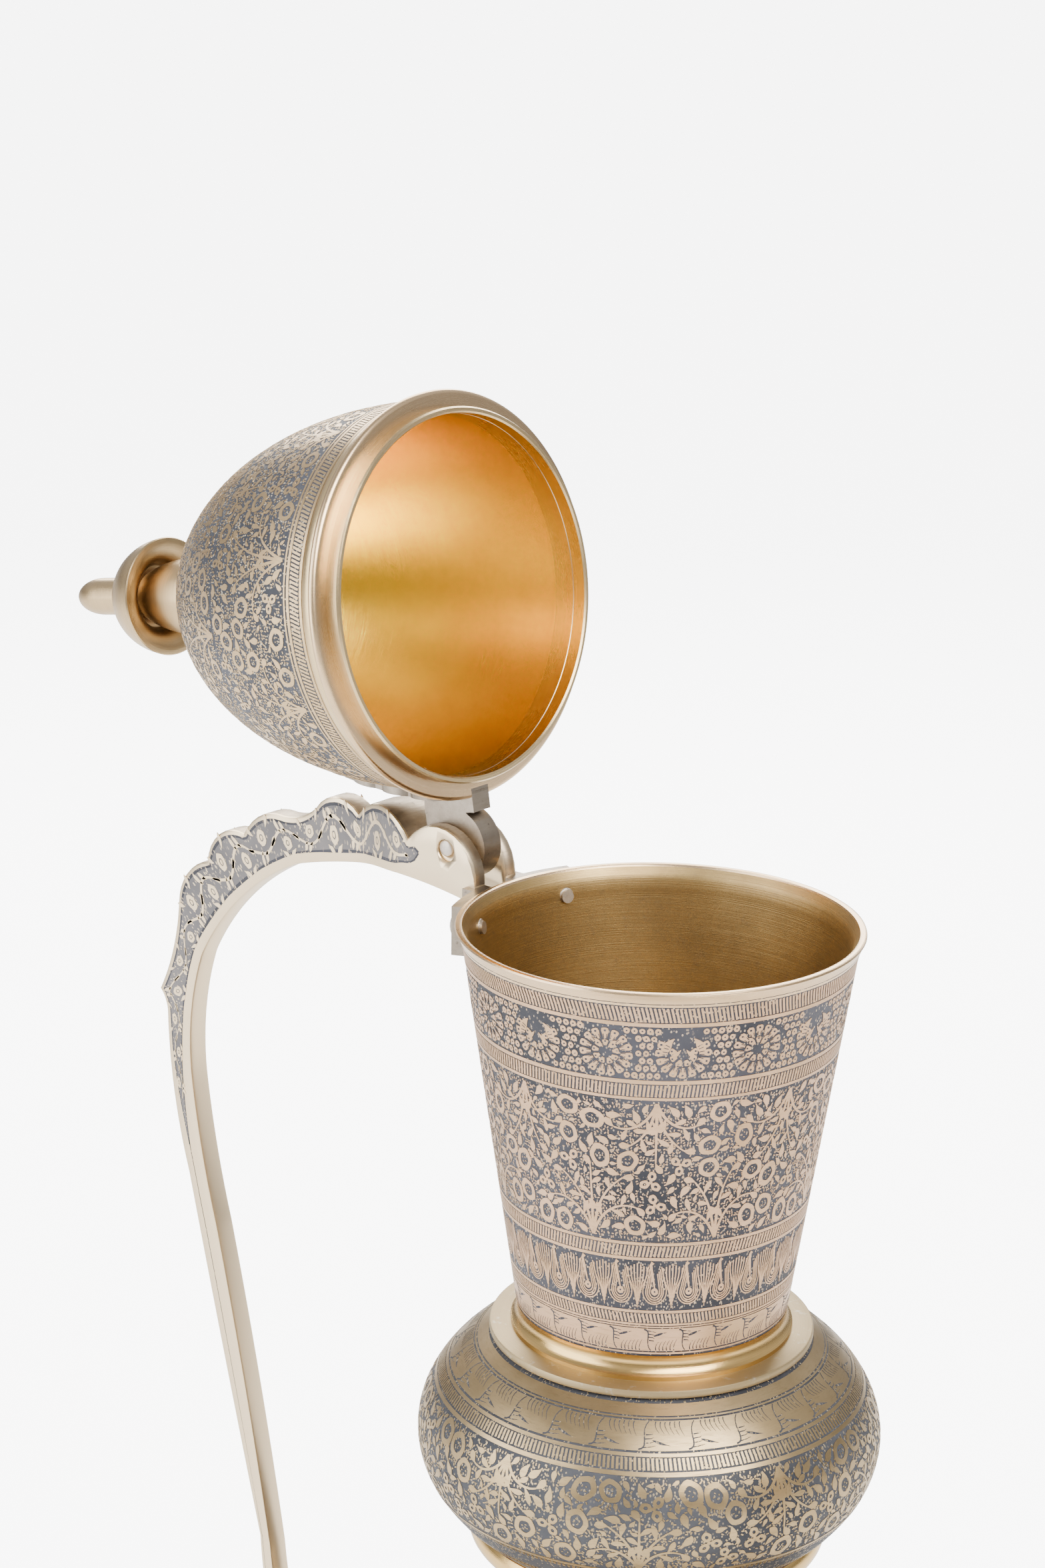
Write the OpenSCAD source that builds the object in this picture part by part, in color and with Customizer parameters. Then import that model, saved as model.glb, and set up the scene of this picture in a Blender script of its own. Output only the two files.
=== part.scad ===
// Lidded ewer for coffee: stacked round body, long spout, scalloped loop handle
// and a tall domed lid that swings on a fork at the top of the handle.
// Millimetres. Z is the body's axis, the table is z = 0, the handle is towards -X.

/* [Shell] */
// Thickness of the raised sheet brass
wall = 1.4; // [1:0.1:2.5]
// Gap between parts that are soldered face to face
seam = 0.05; // [0:0.01:0.1]

/* [Foot and belly] */
// Height of the pedestal foot
foot_h = 17; // [12:1:26]
// Radius of the foot where it stands
foot_r = 46; // [36:1:58]
// Height of the rounded foot rim
foot_rim_h = 3.6; // [2:0.2:6]
// Radius of the belly's opening onto the foot
belly_foot_r = 36; // [28:1:44]
// Largest radius of the belly
belly_r = 74; // [60:1:90]
// Half height of the belly's oval
belly_hh = 58; // [46:1:70]
// Radius of the belly's top opening
belly_top_r = 31; // [26:1:38]
// Width of the raised band on the belly's seam
band_h = 6; // [3:0.5:10]
// How far that band stands out
band_t = 1.6; // [0.8:0.2:3]

/* [Waist] */
// Height of the waisted neck over the belly
waist_h = 32; // [24:1:42]
// Smallest radius of the waisted neck
waist_r = 25; // [21:0.5:30]
// Height of the polished collar under the bulb
collar_h = 5; // [3:0.5:8]
// How far the collar stands out
collar_t = 1.8; // [1:0.2:3]

/* [Neck bulb] */
// Largest radius of the bulb
bulb_r = 43.9; // [35:0.1:53]
// Half height of the bulb's oval
bulb_hh = 27; // [22:0.5:33]
// Radius of the bulb's upper opening
bulb_top_r = 29.4; // [26:0.2:33]
// Radius of the bulb's lower opening
bulb_foot_r = 33; // [28:0.5:39]

/* [Mouth cup] */
// Outer radius of the flange under the cup
flange_r = 30.5; // [29:0.1:37]
// Thickness of that flange
flange_t = 1.7; // [1:0.1:3]
// Height of the polished fillet under the cup
fillet_h = 4.5; // [3:0.1:7]
// Outer radius at the foot of the fillet
fillet_r = 26.5; // [26:0.1:30]
// Outer radius at the foot of the cup
cup_foot_r = 25.5; // [24:0.1:26.3]
// Height of the cup
cup_h = 73.8; // [60:0.2:88]
// Outer radius of the rim
rim_r = 37.5; // [34:0.5:44]
// How much the lip flares beyond the cup's straight side
lip_flare = 0.8; // [0.2:0.1:1.5]
// Height of the flared lip
lip_flare_h = 4; // [2:0.5:8]

/* [Lid] */
// Gap all round between the lid's locating lip and the cup
lip_clear = 0.5; // [0.3:0.05:0.8]
// Gap between the rim and the lid's bead when it is shut
rest_clear = 0.3; // [0.3:0.05:0.6]
// Depth of the locating lip below the bead
lip_h = 2.9; // [2:0.1:6]
// How far the bead stands out past the rim
bead_over = 0.9; // [0.6:0.1:2.4]
// Height of the bead
bead_h = 2; // [1.7:0.1:3.4]
// Height of the lid's plain edge band
edge_h = 2.6; // [1:0.1:5]
// Height of the dome above the edge band
dome_h = 60; // [50:0.5:72]
// Swing of the lid from shut to fully open, degrees
swing = 99.3; // [80:0.1:104]

/* [Finial] */
// Radius of the stem
stem_r = 7.6; // [6.4:0.1:9]
// Height of the stem above the dome
stem_h = 18.4; // [14:0.1:23]
// Radius of the dish's rim
dish_r = 11.9; // [10:0.1:15]
// Height of the dish
dish_h = 12; // [9:0.5:15]
// Radius of the tip
tip_r = 3.8; // [3.2:0.1:4.6]
// Height of the tip above the dish
tip_h = 15.3; // [12:0.1:19]
// Radius of the stud that holds the finial
stud_r = 2; // [1.5:0.1:2.6]

/* [Hinge] */
// Distance of the hinge pin outside the rim
pin_out = 9.9; // [9.2:0.1:12]
// Height of the hinge pin above the rim
pin_up = 5.7; // [4.6:0.1:6.6]
// Radius of the hinge pin
pin_r = 1.6; // [1.2:0.1:2]
// Running clearance of the pin in the lid's tongue, radial
pin_fit = 0.06; // [0.02:0.01:0.1]
// Side clearance between the tongue and each cheek
side_clear = 0.6; // [0.3:0.05:0.9]
// Thickness of the lid's tongue
tongue_t = 4.8; // [3.8:0.1:5.8]
// Radius of the tongue's round end
tongue_r = 7; // [6:0.1:7.6]
// Depth of the wide recess round the pin's end
recess_d = 0.9; // [0.4:0.1:1.4]
// Radius of that recess
recess_r = 2.2; // [1.9:0.1:2.8]

/* [Lid strap] */
// Height up the dome that the strap reaches
strap_h = 36; // [32:0.5:42]
// Half width of the strap
strap_w = 5.4; // [4:0.2:7]
// Thickness of the strap
strap_t = 2.2; // [1.4:0.1:3]
// Radius of the strap's rivets
rivet_r = 1.25; // [0.9:0.05:1.7]
// Radius of a rivet head
head_r = 2.3; // [1.8:0.1:3]
// Height of a rivet head
head_h = 1; // [0.6:0.1:1.6]

/* [Handle] */
// Width of the handle along its stem
stem_w = 4.9; // [3.8:0.1:7]
// Width of the fork at the hinge
fork_w = 12; // [11:0.1:15]
// Distance outside the rim at which the fork is still full width
fork_out = 19.9; // [18.6:0.1:24]
// Length over which the fork narrows to the stem
fork_taper = 16.5; // [11:0.5:22]
// Depth of the slot beyond the pin
slot_x = 8; // [7.8:0.1:10]
// Crest point 1, at the fork's foot: out from the rim, up from the rim, bulge to the next
crest_1 = [2.2, -0.2, 6.7];
// Crest point 2, first notch
crest_2 = [19.2, 5.8, 4.2];
// Crest point 3, second notch
crest_3 = [35.3, 6.5, 2.8];
// Crest point 4, start of the shallow valley
crest_4 = [46.8, 5.4, -0.9];
// Crest point 5, end of the shallow valley
crest_5 = [55.7, 1.9, 2];
// Crest point 6, third notch
crest_6 = [66.7, -4.1, 3.1];
// Crest point 7, fourth notch
crest_7 = [77.1, -12.1, 2.3];
// Crest point 8, shoulder of the loop
crest_8 = [85.7, -22.7, -1.1];
// Crest point 9, the thorn
crest_9 = [91.6, -42.8, -0.4];
// Crest point 10, under the thorn
crest_10 = [89.6, -47.1, 1.3];
// Crest point 11, start of the straight stem
crest_11 = [84.1, -81.7, 0.2];
// Crest point 12, end of the straight stem
crest_12 = [64.3, -159.8, 10];
// Inner point 1, at the fork's foot: out from the rim, up from the rim, bulge to the next
inner_1 = [2.2, -4.1, 0.4];
// Inner point 2, under the second lobe
inner_2 = [21.4, -1.9, 0.9];
// Inner point 3, top of the loop
inner_3 = [52, -7.3, 3];
// Inner point 4, side of the loop
inner_4 = [79, -32.5, 1.7];
// Inner point 5, widest point
inner_5 = [82.5, -60.6, 0.6];
// Inner point 6, start of the straight stem
inner_6 = [76, -91.6, -0.6];
// Inner point 7, end of the straight stem
inner_7 = [61.1, -161.7, 8.5];
// Height of the handle's foot below the belly's widest line
foot_drop = 24; // [18:1:30]
// Thickness of the handle where it meets the belly
foot_t = 6; // [4:0.5:9]

/* [Handle fixings] */
// Half angle covered by the bracket on the cup, degrees
bracket_a = 25; // [20:1:30]
// Thickness of the bracket at its ends
bracket_t = 2.2; // [1.6:0.1:3]
// Height of the bracket
bracket_h = 10; // [7:0.5:16]
// Angle of each bracket rivet from the handle's plane, degrees
bracket_rivet_a = 21; // [18:0.5:22]
// Distance of the bracket rivets below the rim
bracket_rivet_z = 4.8; // [3.5:0.1:7]
// Half height of the plate on the belly
pad_w = 9; // [7:0.5:12]
// Half width of the plate on the belly, across the handle
pad_h = 19; // [15:1:24]
// Thickness of the plate on the belly
pad_t = 1.8; // [1.2:0.1:3]

/* [Spout] */
// Height of the spout's root above the table
spout_z = 56; // [48:1:62]
// Angle at which the spout leaves the belly, degrees
spout_a1 = 20; // [10:1:35]
// Angle of the spout's long leg, degrees
spout_a2 = 82; // [75:1:86]
// Angle of the beak, degrees
spout_a3 = 45; // [35:1:60]
// Length of the root leg beyond the belly
root_l = 16; // [10:1:24]
// Length of the long leg
leg_l = 138; // [112:2:164]
// Length of the beak
beak_l = 15; // [10:1:22]
// Bend radius at the root
bend_1 = 32; // [24:1:44]
// Bend radius under the beak
bend_2 = 38; // [28:1:50]
// Outer radius of the spout at the belly
spout_r1 = 14; // [11:0.5:18]
// Outer radius at the lower bend
spout_r2 = 9.6; // [8:0.2:12]
// Outer radius at the upper bend
spout_r3 = 6.2; // [5:0.2:8]
// Outer radius at the beak's end
spout_r4 = 5.2; // [4.4:0.2:7]
// Wall thickness of the spout
spout_wall = 1.2; // [0.9:0.1:1.8]

/* [Hidden] */
$fn = 96;
far = 400;
tiny = 0.01;
steps = 28;

// heights of the stack, from the table up
belly_z = foot_h + belly_hh * sqrt(1 - pow(belly_foot_r / belly_r, 2));
waist_z = belly_z + belly_hh * sqrt(1 - pow(belly_top_r / belly_r, 2));
collar_z = waist_z + waist_h;
bulb_foot_z = collar_z + collar_h;
bulb_z = bulb_foot_z + bulb_hh * sqrt(1 - pow(bulb_foot_r / bulb_r, 2));
flange_z = bulb_z + bulb_hh * sqrt(1 - pow(bulb_top_r / bulb_r, 2));
fillet_z = flange_z + flange_t;
cup_z = fillet_z + fillet_h;
rim_z = cup_z + cup_h;

// lid sizes, in the lid's own frame with z = 0 on the rim
cup_top_r = rim_r - lip_flare;
cup_lean = (cup_top_r - cup_foot_r) / cup_h;
lip_foot = cup_top_r - cup_lean * lip_flare_h;
lip_r = rim_r - wall - lip_clear - max(0, lip_h - rest_clear - 0.4) / (lip_flare_h + 1.6) * (rim_r - lip_foot);
bead_r = rim_r + bead_over;
bead_z = rest_clear;
edge_z = bead_z + bead_h;
edge_r = bead_r - 1.2;
dome_z = edge_z + edge_h;
dome_r = edge_r - 0.6;
stem_z = dome_z + dome_h - 1.3;
dish_z = stem_z + stem_h - 4;
tip_z = dish_z + dish_h - 1;
pin_x = rim_r + pin_out;
fork_x = rim_r + fork_out;
pin_z = rim_z + pin_up;
cheek_gap = tongue_t + 2 * side_clear;
hole_r = rivet_r + seam;
foot_ring_r = belly_r * sqrt(1 - pow(foot_drop / belly_hh, 2));
pad_rivet_y = pad_h - pad_w * 0.72;
pad_rivet_a = asin(pad_rivet_y / foot_ring_r);

// spout path in its own plane
root = [sqrt(1 - pow((spout_z - belly_z) / belly_hh, 2)) * belly_r, spout_z];
p1 = root + root_l * dir(spout_a1);
p2 = p1 + bend_1 * [sin(spout_a2) - sin(spout_a1), cos(spout_a1) - cos(spout_a2)];
p3 = p2 + leg_l * dir(spout_a2);
p4 = p3 + bend_2 * [sin(spout_a2) - sin(spout_a3), cos(spout_a3) - cos(spout_a2)];
p5 = p4 + beak_l * dir(spout_a3);

function dir(a) = [cos(a), sin(a)];
// half oval from angle a to angle b, angles measured from its widest line
function oval(r, h, z, a, b) = [for (i = [0 : steps]) let (t = a + (b - a) * i / steps) [r * cos(t), z + h * sin(t)]];
// angle on an oval where its radius is q
function at(q, r) = acos(min(1, q / r));
// arc from p to q that bulges by the given amount to the left, without its last point
function arc(p, q, bulge, n = 10) =
    let (c = q - p, l = norm(c), m = (p + q) / 2, e = [-c[1], c[0]] / l)
    abs(bulge) < 0.02 ? [p] :
    let (r = (l * l / 4 + bulge * bulge) / (2 * bulge), o = m + e * (bulge - r),
         a = atan2(p[1] - o[1], p[0] - o[0]), b = atan2(q[1] - o[1], q[0] - o[0]),
         d = b - a > 180 ? b - a - 360 : b - a < -180 ? b - a + 360 : b - a)
    [for (i = [0 : n - 1]) o + abs(r) * dir(a + d * i / n)];
function flat2(v) = [v[0], v[1]];
function out_of_rim(k) = [for (v = k) [v[0] + rim_r, v[1], v[2]]];
function run(k) = [for (i = [0 : len(k) - 2]) each arc(flat2(k[i]), flat2(k[i + 1]), k[i][2])];
function flip(v) = [for (i = [len(v) - 1 : -1 : 0]) v[i]];

// shell between an outer oval and one inside it by the wall
module oval_shell(r, h, z, a, b) {
    rotate_extrude() polygon(concat(oval(r, h, z, a, b), flip(oval(r - wall, h - wall, z, a, b))));
}

// rivet with its head at +Z and its shank below
module rivet(length) {
    translate([0, 0, -length]) cylinder(r = rivet_r, h = length + tiny);
    intersection() {
        translate([0, 0, head_h - head_r * 1.6]) sphere(r = head_r * 1.6);
        cylinder(r = head_r, h = head_h + tiny);
    }
}

module foot_rim() {
    color("goldenrod") rotate_extrude() polygon(concat(
        [[foot_r - 5, 0], [foot_r + 0.6, 0]],
        arc([foot_r + 0.6, 0.01], [foot_r - 0.2, foot_rim_h], -1),
        [[foot_r - 0.2, foot_rim_h], [foot_r - 5, foot_rim_h]]));
}

module foot_skirt() {
    color("darkgoldenrod") rotate_extrude() polygon(concat(
        arc([foot_r - 1.2, foot_rim_h], [belly_foot_r, foot_h], 2),
        [[belly_foot_r, foot_h]],
        [[belly_foot_r - wall, foot_h]],
        flip(arc([foot_r - 1.2 - wall, foot_rim_h], [belly_foot_r - wall, foot_h], 2))));
}

module belly_base() {
    color("peru") translate([0, 0, foot_h]) cylinder(r = belly_foot_r - wall - seam, h = wall);
}

// the belly as a solid, on the same chords as its two shells
module belly_solid(more) {
    a = at(belly_foot_r, belly_r);
    b = at(belly_top_r, belly_r);
    turn = concat([for (i = [0 : 5]) -89.9 + (89.9 - a) * i / 6], [for (i = [0 : steps - 1]) -a + a * i / steps],
        [for (i = [0 : steps]) b * i / steps], [for (i = [1 : 6]) b + (89.9 - b) * i / 6]);
    rotate_extrude() polygon(concat([[0, belly_z - belly_hh - more]],
        [for (t = turn) [(belly_r + more) * cos(t), belly_z + (belly_hh + more) * sin(t)]], [[0, belly_z + belly_hh + more]]));
}

// places something square on an oval body's -X side, at height z, standing out by the given amount
module on_oval(r, h, middle, z, out) {
    c = sqrt(1 - pow((z - middle) / h, 2));
    n = atan2((z - middle) / h / h, c / r);
    translate([-r * c - out * cos(n), 0, z + out * sin(n)]) rotate([0, n - 90, 0]) children();
}

module belly_lower() {
    color("darkgoldenrod") difference() {
        oval_shell(belly_r, belly_hh, belly_z, -at(belly_foot_r, belly_r), 0);
        pad_holes();
        spout_bore();
    }
}

module belly_upper() {
    color("darkgoldenrod") difference() {
        oval_shell(belly_r, belly_hh, belly_z, 0, at(belly_top_r, belly_r));
        spout_bore();
    }
}

module belly_band() {
    color("goldenrod") difference() {
        rotate_extrude() polygon(concat(
            arc([belly_r - 1, belly_z - band_h / 2], [belly_r - 1, belly_z + band_h / 2], -band_t - 1),
            [[belly_r - 1, belly_z + band_h / 2]]));
        belly_solid(seam);
        translate([0, -spout_r1 - 8, -tiny]) cube([far, 2 * spout_r1 + 16, belly_z + band_h]);
    }
}

module waist_neck() {
    drop = belly_top_r - waist_r;
    rise = bulb_foot_r - 2 - waist_r;
    low = waist_h * 0.36;
    out = concat(
        [for (i = [0 : steps]) let (t = 90 * i / steps) [belly_top_r - drop * sin(t), waist_z + low * (1 - cos(t)) ]],
        [for (i = [1 : steps]) let (t = 90 * i / steps) [waist_r + rise * (1 - cos(t)), waist_z + low + (waist_h - low) * sin(t)]]);
    color("darkgoldenrod") rotate_extrude() polygon(concat(out, flip([for (p = out) [p[0] - wall, p[1]]])));
}

module waist_collar() {
    color("gold") rotate_extrude() polygon(concat(
        [[bulb_foot_r - 2 - wall - 1, collar_z]],
        arc([bulb_foot_r - 2, collar_z], [bulb_foot_r + 0.4, bulb_foot_z], -collar_t),
        [[bulb_foot_r + 0.4, bulb_foot_z], [bulb_foot_r - wall - 1.6, bulb_foot_z]]));
}

module neck_bulb() {
    color("darkkhaki") oval_shell(bulb_r, bulb_hh, bulb_z, -at(bulb_foot_r, bulb_r), at(bulb_top_r, bulb_r));
}

module collar_flange() {
    bore = cup_foot_r - wall - 1;
    color("goldenrod") rotate_extrude() polygon([
        [bore, flange_z], [flange_r - 0.5, flange_z], [flange_r, flange_z + 0.4],
        [flange_r, fillet_z - 0.3], [flange_r - 0.3, fillet_z], [bore, fillet_z]]);
}

module neck_fillet() {
    color("gold") rotate_extrude() polygon(concat(
        [[cup_foot_r - wall - 1, fillet_z], [fillet_r, fillet_z], [fillet_r, fillet_z + 0.8]],
        arc([fillet_r, fillet_z + 0.8], [cup_foot_r, cup_z], 0.9),
        [[cup_foot_r, cup_z], [cup_foot_r - wall, cup_z]]));
}

module mouth_cup() {
    color("peru") difference() {
        rotate_extrude() polygon(concat(
            [[cup_foot_r - wall, cup_z], [cup_foot_r, cup_z], [lip_foot, rim_z - lip_flare_h]],
            arc([lip_foot, rim_z - lip_flare_h], [rim_r, rim_z - 0.4], 0.15),
            [[rim_r, rim_z - 0.4], [rim_r - 0.3, rim_z], [rim_r - wall + 0.3, rim_z], [rim_r - wall, rim_z - 0.4],
             [lip_foot - wall, rim_z - lip_flare_h - 2]]));
        bracket_holes();
    }
}

module bracket_holes() {
    for (s = [-1, 1]) rotate([0, 0, s * bracket_rivet_a]) translate([-far, 0, rim_z - bracket_rivet_z])
        rotate([0, 90, 0]) cylinder(r = hole_r, h = far);
}

module rim_bracket() {
    inner = rim_r + seam;
    color("silver") difference() {
        intersection() {
            translate([0, 0, rim_z - bracket_h]) union() {
                cylinder(r = rim_r + bracket_t, h = bracket_h - 0.5);
                translate([-inner - 4, 0, 0]) intersection() {
                    translate([0, -fork_w / 2 - 1.4, 0]) cube([9, fork_w + 2.8, bracket_h - 0.5]);
                    translate([8.6, 0, 0]) cylinder(r = 13, h = bracket_h);
                }
            }
            linear_extrude(height = far) polygon([[0, 0], 2 * rim_r * [-cos(bracket_a), sin(bracket_a)],
                [-2.4 * rim_r, 0], 2 * rim_r * [-cos(bracket_a), -sin(bracket_a)]]);
        }
        translate([0, 0, rim_z - cup_h]) cylinder(r1 = cup_foot_r + seam, r2 = cup_top_r + seam, h = cup_h);
        translate([0, 0, rim_z - lip_flare_h - 1]) cylinder(r = inner, h = far);
        bracket_holes();
        slot_cut();
        handle_body();
    }
}

module bracket_rivets() {
    reach = 2 * wall + bracket_t + 1.2;
    color("silver") for (s = [-1, 1]) rotate([0, 0, s * bracket_rivet_a]) difference() {
        translate([-rim_r - bracket_t, 0, rim_z - bracket_rivet_z]) rotate([0, -90, 0]) rivet(reach);
        translate([0, 0, rim_z - cup_h]) cylinder(r1 = cup_foot_r - wall, r2 = cup_top_r - wall - 0.5, h = cup_h);
    }
}

module slot_cut() {
    translate([-pin_x - slot_x, -cheek_gap / 2, rim_z - 20]) cube([slot_x + pin_x - rim_r - 0.4, cheek_gap, 60]);
}

// the handle's side view, x out from the axis and y up from the rim
module handle_outline() {
    foot_y = belly_z - foot_drop - rim_z;
    crest = concat(out_of_rim([crest_1, crest_2, crest_3, crest_4, crest_5, crest_6, crest_7, crest_8, crest_9, crest_10, crest_11, crest_12]),
        [[belly_r - 14, foot_y - foot_t / 2, 0]]);
    inner = concat(out_of_rim([inner_1, inner_2, inner_3, inner_4, inner_5, inner_6, inner_7]),
        [[belly_r - 14, foot_y + foot_t / 2, 0]]);
    polygon(concat(run(crest), [flat2(crest[len(crest) - 1]), flat2(inner[len(inner) - 1])], flip(run(inner))));
}

module handle_body() {
    w = stem_w / 2;
    f = fork_w / 2;
    far_x = 200;
    intersection() {
        translate([0, f, rim_z]) rotate([90, 0, 0]) mirror([1, 0, 0]) linear_extrude(height = fork_w) handle_outline();
        mirror([1, 0, 0]) linear_extrude(height = rim_z + 60) polygon(concat(
            [[0, -f]], [[fork_x, -f]], [for (i = [1 : 8]) let (t = i / 8) [fork_x + fork_taper * t, -f + (f - w) * (1 - cos(180 * t)) / 2]],
            [[far_x, -w], [far_x, w]],
            [for (i = [8 : -1 : 1]) let (t = i / 8) [fork_x + fork_taper * t, f - (f - w) * (1 - cos(180 * t)) / 2]],
            [[fork_x, f], [0, f]]));
    }
}

module handle() {
    color("burlywood") difference() {
        handle_body();
        slot_cut();
        cylinder(r = rim_r + seam, h = rim_z + 40);
        belly_solid(pad_t + 2 * seam);
        translate([-pin_x, 0, pin_z]) rotate([90, 0, 0]) cylinder(r = pin_r + seam, h = fork_w + 2, center = true);
        translate([-pin_x + 0.4, -fork_w / 2 + recess_d, pin_z - 0.3]) rotate([90, 0, 0]) cylinder(r = recess_r, h = 4);
    }
}

module hinge_pin() {
    color("silver") translate([-pin_x, 0, pin_z]) rotate([90, 0, 0]) cylinder(r = pin_r, h = fork_w - 0.3, center = true);
}

module pad_outline() {
    circle(r = pad_w);
    translate([-pad_rivet_y, -pad_w * 0.6]) square([2 * pad_rivet_y, pad_w * 1.2]);
    for (s = [-1, 1]) translate([s * pad_rivet_y, 0]) circle(r = pad_w * 0.72);
}

module pad_holes() {
    for (s = [-1, 1]) rotate([0, 0, s * pad_rivet_a]) on_oval(belly_r, belly_hh, belly_z, belly_z - foot_drop, 0)
        cylinder(r = hole_r, h = 24, center = true);
}

module handle_pad() {
    color("burlywood") difference() {
        intersection() {
            belly_solid(pad_t + seam);
            translate([-far, 0, belly_z - foot_drop]) rotate([90, 0, 90]) linear_extrude(height = far - 20) pad_outline();
        }
        belly_solid(seam);
        pad_holes();
    }
}

module pad_rivets() {
    color("silver") for (s = [-1, 1]) rotate([0, 0, s * pad_rivet_a])
        on_oval(belly_r, belly_hh, belly_z, belly_z - foot_drop, pad_t + 2 * seam) rivet(pad_t + wall + 1.6);
}

// one straight leg of the spout, from point p along angle a
module leg(p, a, length, ra, rb) {
    translate([p[0], 0, p[1]]) rotate([0, 90 - a, 0]) cylinder(r1 = ra, r2 = rb, h = length);
}

// the same leg as a tube
module leg_tube(p, a, length, ra, rb) {
    translate([p[0], 0, p[1]]) rotate([0, 90 - a, 0]) rotate_extrude()
        polygon([[ra - spout_wall, 0], [ra, 0], [rb, length], [rb - spout_wall, length]]);
}

// a bend that turns up, or over when up is false
module bend_tube(p, a, b, radius, r, up) {
    s = up ? 1 : -1;
    o = p + s * radius * [-sin(a), cos(a)];
    translate([o[0], 0, o[1]]) rotate([90, 0, 0])
        rotate([0, 0, up ? a - 90 : b + 90]) rotate_extrude(angle = abs(b - a)) translate([radius, 0]) difference() {
            circle(r = r);
            circle(r = r - spout_wall);
        }
}

module spout_bore() {
    leg(root - 30 * dir(spout_a1), spout_a1, root_l + 30, spout_r1 - spout_wall, spout_r1 - spout_wall - 2);
}

module spout_root() {
    color("darkgoldenrod") difference() {
        leg_tube(root - 22 * dir(spout_a1), spout_a1, root_l + 22, spout_r1, spout_r2);
        belly_solid(seam);
    }
}

module spout_elbow() {
    color("darkgoldenrod") bend_tube(p1, spout_a1, spout_a2, bend_1, spout_r2, true);
}

module spout_leg() {
    color("darkgoldenrod") leg_tube(p2, spout_a2, leg_l, spout_r2, spout_r3);
}

module spout_crook() {
    color("darkgoldenrod") bend_tube(p3, spout_a2, spout_a3, bend_2, spout_r3, false);
}

module spout_beak() {
    color("darkgoldenrod") leg_tube(p4, spout_a3, beak_l, spout_r3, spout_r4);
}

module spout_socket() {
    color("gold") difference() {
        intersection() {
            leg(root - 30 * dir(spout_a1), spout_a1, 60, spout_r1 + 3.4, spout_r1 + 3.4);
            belly_solid(2.2);
        }
        leg(root - 22 * dir(spout_a1), spout_a1, root_l + 22, spout_r1 + seam, spout_r2 + seam);
        belly_solid(seam);
    }
}

module spout_lip() {
    color("gold") translate([p5[0], 0, p5[1]]) rotate([0, 90 - spout_a3, 0]) rotate_extrude()
        polygon(concat([[spout_r4 - spout_wall, 0.02]], arc([spout_r4, 0.02], [spout_r4, 2.4], -1), [[spout_r4, 2.4], [spout_r4 - spout_wall, 2.4]]));
}

// puts a lid part, drawn shut on the rim, at its open stop
module opened() {
    translate([-pin_x, 0, pin_z]) rotate([0, -swing, 0]) translate([pin_x, 0, -pin_up]) children();
}

module lid_oval(more) {
    rotate_extrude() polygon(concat([[0, dome_z]], oval(dome_r + more, dome_h + more, dome_z, 0, 89.9), [[0, dome_z + dome_h + more]]));
}

module lid_dome() {
    color("darkgoldenrod") opened() difference() {
        rotate_extrude() polygon(concat(oval(dome_r, dome_h, dome_z, 0, 89.9), [[0, dome_z + dome_h], [0, dome_z + dome_h - wall]],
            flip(oval(dome_r - wall, dome_h - wall, dome_z, 0, 89.9))));
        translate([0, 0, dome_z]) cylinder(r = stud_r + seam, h = far);
        strap_holes();
    }
}

module lid_edge_band() {
    color("goldenrod") opened() difference() {
        rotate_extrude() polygon(concat(
            [[lip_r - 1.2, edge_z], [edge_r, edge_z]],
            arc([edge_r, edge_z], [dome_r, dome_z], -0.2),
            [[dome_r, dome_z], [lip_r - 1.2, dome_z]]));
        strap_root(seam);
    }
}

module lid_bead() {
    color("goldenrod") opened() difference() {
        rotate_extrude() polygon(concat(
            [[lip_r - 1.2, bead_z], [bead_r - 0.8, bead_z]],
            arc([bead_r - 0.8, bead_z], [bead_r - 0.8, edge_z], -0.8),
            [[bead_r - 0.8, edge_z], [lip_r - 1.2, edge_z]]));
        strap_root(seam);
    }
}

module lid_locating_lip() {
    color("goldenrod") opened() rotate_extrude() polygon([
        [lip_r - 1.2, bead_z], [lip_r - 1.2, bead_z - lip_h + 0.3], [lip_r - 0.9, bead_z - lip_h],
        [lip_r - 0.3, bead_z - lip_h], [lip_r, bead_z - lip_h + 0.4], [lip_r, bead_z]]);
}

// thick lower end of the strap that carries the tongue
module strap_root(more) {
    translate([-edge_r - 3.8 - more, -tongue_t / 2 - more, edge_z - 2 - more]) cube([4.6 + 2 * more, tongue_t + 2 * more, 11 + 2 * more]);
}

module strap_outline() {
    for (i = [0 : 3]) translate([0, dome_z + 6 + i * (strap_h - 8) / 3.6]) circle(r = strap_w - 0.35 * i);
    translate([-strap_w + 1.6, dome_z + 0.6]) square([2 * strap_w - 3.2, strap_h - 10]);
    translate([0, dome_z + strap_h - 5.4]) circle(r = strap_w - 2.6);
}

module lid_strap() {
    color("silver") opened() difference() {
        union() {
            difference() {
                intersection() {
                    lid_oval(strap_t + seam);
                    translate([-far, 0, 0]) rotate([90, 0, 90]) linear_extrude(height = far) strap_outline();
                }
                lid_oval(seam);
            }
            strap_root(0);
            translate([-pin_x, 0, pin_up]) rotate([90, 0, 0]) cylinder(r = tongue_r, h = tongue_t, center = true);
            translate([-pin_x, -tongue_t / 2, edge_z]) cube([pin_x - edge_r - 1, tongue_t, tongue_r + pin_up - edge_z]);
        }
        translate([-pin_x, 0, pin_up]) rotate([90, 0, 0]) cylinder(r = pin_r + pin_fit, h = far, center = true);
        lid_oval(seam);
        strap_holes();
    }
}

module strap_holes() {
    for (z = strap_rivet_z()) on_oval(dome_r, dome_h, dome_z, z, 0) cylinder(r = hole_r, h = 16, center = true);
}
function strap_rivet_z() = [dome_z + 10.4, dome_z + strap_h - 12];

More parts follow.
